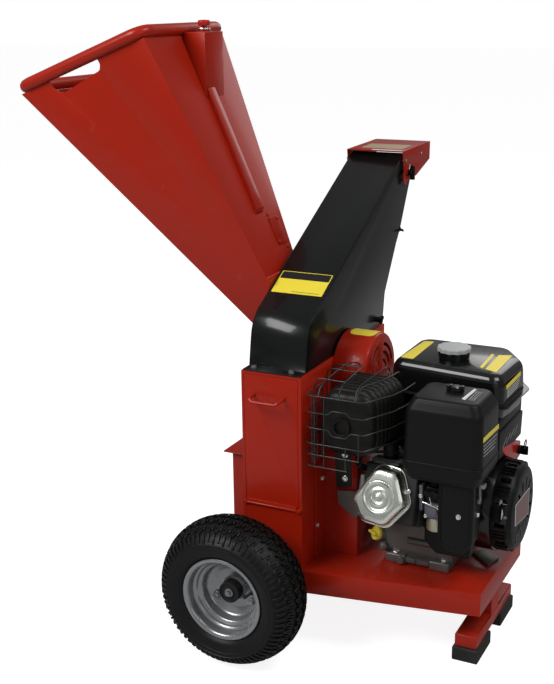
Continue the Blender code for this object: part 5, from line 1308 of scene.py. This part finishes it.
def build_muffler():
    """The silencer's cap and ribbed shell, its outlet and the pipe down to the head."""
    start, end = MUFFLER_Y
    ribs, steps = 7, 10
    first, last = start + 0.028, end - 0.006
    cap = ((0, -0.016), (0.0014, -0.009), (0.0045, -0.0035), (0.009, 0), (0.016, 0.0022),
           (0.023, 0.0015), (0.0262, -0.001))
    rings = [muffler_ring(start + along, swell) for along, swell in cap]
    for i in range(ribs * steps + 1):
        y = first + (last - first) * i / (ribs * steps)
        rings.append(muffler_ring(y, 0.005 * abs(sin(pi * i / steps)) ** 0.7 - 0.001))
    rings += [muffler_ring(end - 0.002, -0.003), muffler_ring(end, -0.01)]
    bm = lofted(rings)
    x, z = MUFFLER_PORT
    port = facing((x, start, z), FRONT)
    absorb(bm, turned([(0.0205, -0.002), (0.0205, 0.003), (0.019, 0.0076), (0.0172, 0.008),
                       (0.0152, 0.007), (0.0148, 0.0004), (0, 0.0002)], 48), port)
    add_rod(bm, (0.268, -0.112, 0.4225), (0.268, -0.112, 0.464), 0.016, 32)
    new_piece("silencer", bm, "Silencer black", replaces=("muffler",), angle=50)


def guard_rail(z, front_end=None, bump=0):
    """One wire of the guard: along the left side, across the front, round the right."""
    left, front = CAGE_LEFT, CAGE_FRONT
    points = [(left, -0.105, z), (left, front + 0.01, z), (left + 0.003, front + 0.003, z),
              (left + 0.01, front, z)]
    if bump:
        points += [(0.176, front, z), (0.186, front, z + bump), (0.216, front, z + bump),
                   (0.227, front, z)]
    if front_end:
        return points + [(front_end, front, z)]
    return points + [(0.248, front, z), (0.257, front + 0.004, z), (0.272, front + 0.035, z),
                     (0.29, -0.165, z), (0.3, -0.12, z), (0.303, -0.07, z)]


def build_muffler_guard():
    """The welded wire cage: rails, uprights and the bowed wires over the silencer."""
    top = 0.588
    wires = [guard_rail(top), guard_rail(0.552, bump=0.009), guard_rail(0.518, bump=-0.012),
             guard_rail(0.484), guard_rail(0.46, 0.246), guard_rail(0.434, 0.218)]
    left, front = CAGE_LEFT + 2 * WIRE_RADIUS, CAGE_FRONT + 2 * WIRE_RADIUS
    for y in (-0.21, -0.185, -0.16, -0.135, -0.112):
        wires.append([(left, y, 0.432), (left, y, 0.5895)])
    for x, low, high in ((0.145, 0.432, 0.5895), (0.166, 0.432, 0.5895), (0.214, 0.432, 0.486),
                         (0.243, 0.4585, 0.52)):
        wires.append([(x, front, low), (x, front, high)])
    wires.append(smooth_path([(0.198, front, top), (0.2, -0.216, 0.611), (0.199, -0.16, 0.617),
                              (0.196, -0.11, 0.618), (0.18, -0.081, 0.618), (0.164, -0.075, 0.617),
                              (0.156, -0.1, 0.617), (0.155, -0.176, 0.613), (0.154, -0.216, 0.606),
                              (0.153, front, top)]))
    wires.append(smooth_path([(0.235, front, top), (0.235, -0.212, 0.611), (0.242, -0.15, 0.619),
                              (0.248, -0.092, 0.622), (0.249, -0.075, 0.608)]))
    wires.append(smooth_path([(0.237, front, top), (0.24, -0.208, 0.6105), (0.262, -0.165, 0.614),
                              (0.271, -0.125, 0.615), (0.273, -0.088, 0.613),
                              (0.273, -0.075, 0.602)]))
    for y, high in ((-0.19, 0.612), (-0.13, 0.616), (-0.1, 0.617)):
        wires.append(smooth_path([(CAGE_LEFT, y, top), (0.13, y, high - 0.006), (0.146, y, high),
                                  (0.18, y, high - 0.001), (0.2, y, high)]))
    for z in (0.484, 0.552):
        wires.append([(0.124, -0.1075, z - 0.0027), (0.134, -0.1075, z - 0.0027)])
    guard = bmesh.new()
    for points in wires:
        add_tube(guard, points, WIRE_RADIUS)
    add_block(guard, (0.195, -0.153, 0.602), (0.203, -0.145, 0.617))
    new_piece("muffler_cage", guard, "Guard wire", replaces=("muffler_guard",), angle=60)


RECOIL_SHAPE = ((0.47, 1), (0.49, 1), (0.502, 1.0104), (0.514, 1.044), (0.521, 1.1),
                (0.526, 1.147))


def build_recoil_cover():
    """The starter cover's own copy, with squarer shoulders and its face set back for the plate."""
    bm = joined_copy("recoil_cover")
    for v in bm.verts:
        x, y, z = v.co
        out = Vector((0, y - SHAFT_Y, z - CRANK_Z))
        if out.length > 0.067:
            for (near, low), (far, high) in zip(RECOIL_SHAPE, RECOIL_SHAPE[1:]):
                if near <= x < far:
                    out *= low + (high - low) * (x - near) / (far - near)
        v.co = (min(x, RECOIL_END - 0.001), SHAFT_Y + out.y, CRANK_Z + out.z)
    new_piece("recoil_cover_soft", bm, "Black plastic", replaces=("recoil_cover",), edge=0.0009,
              angle=32)


def build_recoil_details():
    """Ribs along the starter cover's side, a plate there, slats on its face and its bolts."""
    ribs, rib = bmesh.new(), bmesh.new()
    add_block(rib, (0.483, -0.0016, RECOIL_RADIUS - 0.004),
              (0.512, 0.0016, RECOIL_RADIUS + 0.0022), segments=1)
    axis = at(0, SHAFT_Y, CRANK_Z)
    stamp(ribs, rib, [axis @ Matrix.Rotation(radians(30 * k + 5 + step), 4, "X")
                      for k in range(12) if k not in (2, 8) for step in (10, 15, 20)])
    add_block(ribs, (0.498, -0.0215, 0.088), (0.513, 0.0215, 0.0988),
              axis @ Matrix.Rotation(radians(79), 4, "X"), 0.0012)
    face = RECOIL_END
    for k in range(8):
        y = -0.03 + 0.012 * k
        add_block(ribs, (face - 0.003, y, 0.246), (face, y + 0.0045, 0.272), edge=0.0008)
    new_piece("recoil_ribs", ribs, "Gloss plastic")
    bolts = bmesh.new()
    for k in range(3):
        y, z = polar(0.0975, 120 * k + 52)
        add_bolt(bolts, (0.51, SHAFT_Y + y, CRANK_Z + z), (0, y, z), 0.004, radians(120 * k + 52))
    new_piece("recoil_bolts", bolts, "Grey steel")


def build_shroud_details():
    """The fan shroud's panel and vents, the red switch box and the key with its ring."""
    panel = bmesh.new()
    add_plate(panel, [(-0.045, 0.434), (0.128, 0.434), (0.135, 0.488), (-0.045, 0.496)], 0.013,
              sideways(0.47), 0.002, 3)
    add_block(panel, (0.438, -0.045, 0.434), (0.4825, 0.1, 0.452), edge=0.002)
    add_block(panel, (0.456, -0.04, 0.48), (0.479, 0.135, 0.52), edge=0.002)
    new_piece("shroud_panel", panel, "Black plastic")
    vents = bmesh.new()
    for k in range(4):
        y = -0.02 + 0.028 * k
        slot = [(0, 0), (0.03, 0.014), (0.03, 0.0175), (0, 0.0035)]
        add_plate(vents, [(y + a, 0.452 + b) for a, b in slot], 0.0006, sideways(0.4828))
    new_piece("shroud_vents", vents, "Grey steel")
    switch = bmesh.new()
    add_plate(switch, rounded([(-0.02, 0.446), (0.007, 0.426), (0.098, 0.382), (0.126, 0.386),
                               (0.124, 0.42), (0.067, 0.437), (-0.018, 0.452)], 0.004, 3), 0.0165,
              sideways(0.4675), 0.0025, 3)
    new_piece("switch_box", switch, "Red plastic", replaces=("key_switch",))
    key = bmesh.new()
    y, z = 0.108, 0.405
    add_rod(key, (0.4843, y, z), (0.49, y, z), 0.01, 32)
    add_block(key, (0.489, y - 0.0025, z - 0.0105), (0.506, y + 0.0025, z + 0.0105), edge=0.0022,
              segments=4)
    new_piece("key_head", key, "Black plastic", "key", ("ignition_key",))
    ring = bmesh.new()
    hoop = [(0.501 + 0.0008 * sin(a), 0.098 + 0.0085 * cos(a), 0.4235 + 0.01 * sin(a))
            for a in [tau * k / 32 for k in range(32)]]
    add_tube(ring, hoop, 0.0012, cyclic=True, resolution=2)
    new_piece("key_ring", ring, "Black plastic", "key")


# Stage

def add_camera():
    """The photograph's camera."""
    flat = Vector((-sin(CAMERA_YAW), cos(CAMERA_YAW), 0))
    forward = flat * cos(CAMERA_PITCH) - Vector((0, 0, sin(CAMERA_PITCH)))
    right = Vector((cos(CAMERA_YAW), sin(CAMERA_YAW), 0))
    up = right.cross(forward)
    roll = Matrix.Rotation(-CAMERA_ROLL, 3, forward)
    turn = Matrix((roll @ right, roll @ up, -forward)).transposed()
    data = bpy.data.cameras.new("Camera")
    data.sensor_fit = "VERTICAL"
    data.sensor_height = 36
    data.lens = FOCAL_PIXELS / IMAGE_HEIGHT * data.sensor_height
    camera = bpy.data.objects.new("Camera", data)
    camera.matrix_world = Matrix.Translation(CAMERA_PLACE + SHIFT) @ turn.to_4x4()
    bpy.context.scene.collection.objects.link(camera)
    bpy.context.scene.camera = camera


def add_lamp(name, place, target, size, power):
    """A large soft lamp that looks at a point."""
    data = bpy.data.lights.new(name, "AREA")
    data.shape = "RECTANGLE"
    data.size, data.size_y = size
    data.energy = power
    lamp = bpy.data.objects.new(name, data)
    lamp.matrix_world = facing(place, Vector(place) - Vector(target))
    bpy.context.scene.collection.objects.link(lamp)


def add_world():
    """Even light, and white where the camera looks past the floor."""
    world = bpy.data.worlds.new("World")
    bpy.context.scene.world = world
    tree = empty_tree(world)
    path = add_node(tree, "LightPath").outputs
    seen = add_node(tree, "Math", {0: path["Is Camera Ray"], 1: path["Is Transmission Ray"]},
                    operation="MAXIMUM").outputs[0]
    light = add_node(tree, "Background", {"Color": WHITE,
                                          "Strength": ramp(tree, seen, 0, 1, WORLD_LIGHT)})
    add_node(tree, "OutputWorld", {"Surface": light.outputs[0]})


def add_floor():
    """A wide pale floor that keeps the machine's shadow."""
    settings = bpy.context.scene.chipper_studio
    material = bpy.data.materials.new("Studio floor")
    tree = empty_tree(material)
    camera_ray = add_node(tree, "LightPath").outputs["Is Camera Ray"]
    shader = add_node(tree, "BsdfPrincipled", {
        "Base Color": settings.floor, "Roughness": 0.9, "Specular IOR Level": 0.1,
        "Emission Color": WHITE, "Emission Strength": product(tree, camera_ray, FLOOR_GLOW)})
    add_node(tree, "OutputMaterial", {"Surface": shader.outputs[0]})
    bm = bmesh.new()
    bmesh.ops.create_grid(bm, x_segments=1, y_segments=1, size=30)
    mesh = bpy.data.meshes.new("studio_floor")
    bm.to_mesh(mesh)
    bm.free()
    mesh.materials.append(material)
    floor = bpy.data.objects.new("studio_floor", mesh)
    bpy.context.scene.collection.objects.link(floor)


def build_stage():
    """Floor, lamps, world, camera and view settings."""
    settings = bpy.context.scene.chipper_studio
    bpy.context.scene.view_settings.view_transform = "Standard"
    add_camera()
    add_world()
    add_floor()
    for name, place, size, power in (
            ("Key", (-1.3, -2.4, 2.8), (1.8, 1.4), settings.key),
            ("Fill", (2.6, -2.4, 1.6), (1.6, 1.6), settings.fill),
            ("Rim", (2, -0.3, 3.2), (1.4, 1.4), settings.rim),
            ("Back", (0.2, 3.2, 2.2), (1.6, 1.6), settings.back)):
        add_lamp(name, place, LAMP_TARGET, size, power)


# Operators

class CHIPPER_OT_finishes(bpy.types.Operator):
    """Makes the finishes and gives them to the CAD nodes"""
    bl_idname = "chipper.finishes"
    bl_label = "Finishes"

    def execute(self, context):
        make_finishes()
        finish_cad_nodes()
        return {"FINISHED"}


class CHIPPER_OT_sheet_metal(bpy.types.Operator):
    """Deck, housing, hopper, chute and the other folded parts with eased edges"""
    bl_idname = "chipper.sheet_metal"
    bl_label = "Sheet Metal"

    def execute(self, context):
        build_sheet_metal()
        return {"FINISHED"}


class CHIPPER_OT_wheels(bpy.types.Operator):
    """Tyres with their tread, rims, hubs, nuts and valves"""
    bl_idname = "chipper.wheels"
    bl_label = "Wheels"

    def execute(self, context):
        build_wheels()
        return {"FINISHED"}


class CHIPPER_OT_soft_parts(bpy.types.Operator):
    """Copies of the moulded and cast nodes with rounded edges"""
    bl_idname = "chipper.soft_parts"
    bl_label = "Soft Parts"

    def execute(self, context):
        build_soft_parts()
        return {"FINISHED"}


class CHIPPER_OT_hopper(bpy.types.Operator):
    """The mouth's tube and welds, the flange bolts, the face plate and the button's rings"""
    bl_idname = "chipper.hopper"
    bl_label = "Hopper"

    def execute(self, context):
        build_hopper_fittings()
        return {"FINISHED"}


class CHIPPER_OT_chute(bpy.types.Operator):
    """The chute's and the hood's bolts, screws and seams"""
    bl_idname = "chipper.chute"
    bl_label = "Chute"

    def execute(self, context):
        build_chute_fittings()
        return {"FINISHED"}


class CHIPPER_OT_housing(bpy.types.Operator):
    """Bolts and welds of the housing, the guard and the foot"""
    bl_idname = "chipper.housing"
    bl_label = "Housing"

    def execute(self, context):
        build_housing_fittings()
        return {"FINISHED"}


class CHIPPER_OT_engine(bpy.types.Operator):
    """Rocker cover, castings, carburettor, silencer and its guard"""
    bl_idname = "chipper.engine"
    bl_label = "Engine"

    def execute(self, context):
        build_valve_cover()
        build_engine_details()
        build_carburettor()
        build_muffler()
        build_muffler_guard()
        return {"FINISHED"}


class CHIPPER_OT_covers(bpy.types.Operator):
    """Tank, air cleaner, starter cover, shroud and key"""
    bl_idname = "chipper.covers"
    bl_label = "Covers"

    def execute(self, context):
        build_tank()
        build_air_cleaner()
        build_recoil_cover()
        build_recoil_details()
        build_shroud_details()
        return {"FINISHED"}


class CHIPPER_OT_patches(bpy.types.Operator):
    """Blank patches where the machine carries stickers, and a painted highlight on the hood's
    front edge
    """
    bl_idname = "chipper.patches"
    bl_label = "Patches"

    def execute(self, context):
        build_patches()
        return {"FINISHED"}


class CHIPPER_OT_stage(bpy.types.Operator):
    """Floor, lamps, world and the photograph's camera"""
    bl_idname = "chipper.stage"
    bl_label = "Stage"

    def execute(self, context):
        build_stage()
        return {"FINISHED"}


SETTINGS = {"chipper_colours": ChipperColours, "chipper_sizes": ChipperSizes,
            "chipper_studio": StudioSettings}
OPERATORS = (CHIPPER_OT_finishes, CHIPPER_OT_sheet_metal, CHIPPER_OT_soft_parts, CHIPPER_OT_wheels,
             CHIPPER_OT_hopper, CHIPPER_OT_chute, CHIPPER_OT_housing, CHIPPER_OT_engine,
             CHIPPER_OT_covers, CHIPPER_OT_patches, CHIPPER_OT_stage)


class CHIPPER_PT_panel(bpy.types.Panel):
    """Lists the settings and the steps that build the machine's looks"""
    bl_idname = "CHIPPER_PT_panel"
    bl_label = "Wood Chipper"
    bl_space_type = "VIEW_3D"
    bl_region_type = "UI"
    bl_category = "Chipper"

    def draw(self, context):
        for name, group in SETTINGS.items():
            values = getattr(context.scene, name)
            for label in group.__annotations__:
                self.layout.prop(values, label)
        for operator in OPERATORS:
            self.layout.operator(operator.bl_idname)


def register():
    for group in SETTINGS.values():
        bpy.utils.register_class(group)
    for name, group in SETTINGS.items():
        setattr(bpy.types.Scene, name, PointerProperty(type=group))
    for operator in OPERATORS:
        bpy.utils.register_class(operator)
    bpy.utils.register_class(CHIPPER_PT_panel)


def unregister():
    bpy.utils.unregister_class(CHIPPER_PT_panel)
    for operator in reversed(OPERATORS):
        bpy.utils.unregister_class(operator)
    for name in SETTINGS:
        delattr(bpy.types.Scene, name)
    for group in SETTINGS.values():
        bpy.utils.unregister_class(group)


def main():
    """Registers the classes and builds everything."""
    register()
    for operator in OPERATORS:
        getattr(bpy.ops.chipper, operator.bl_idname.split(".")[1])()


if __name__ == "__main__":
    main()
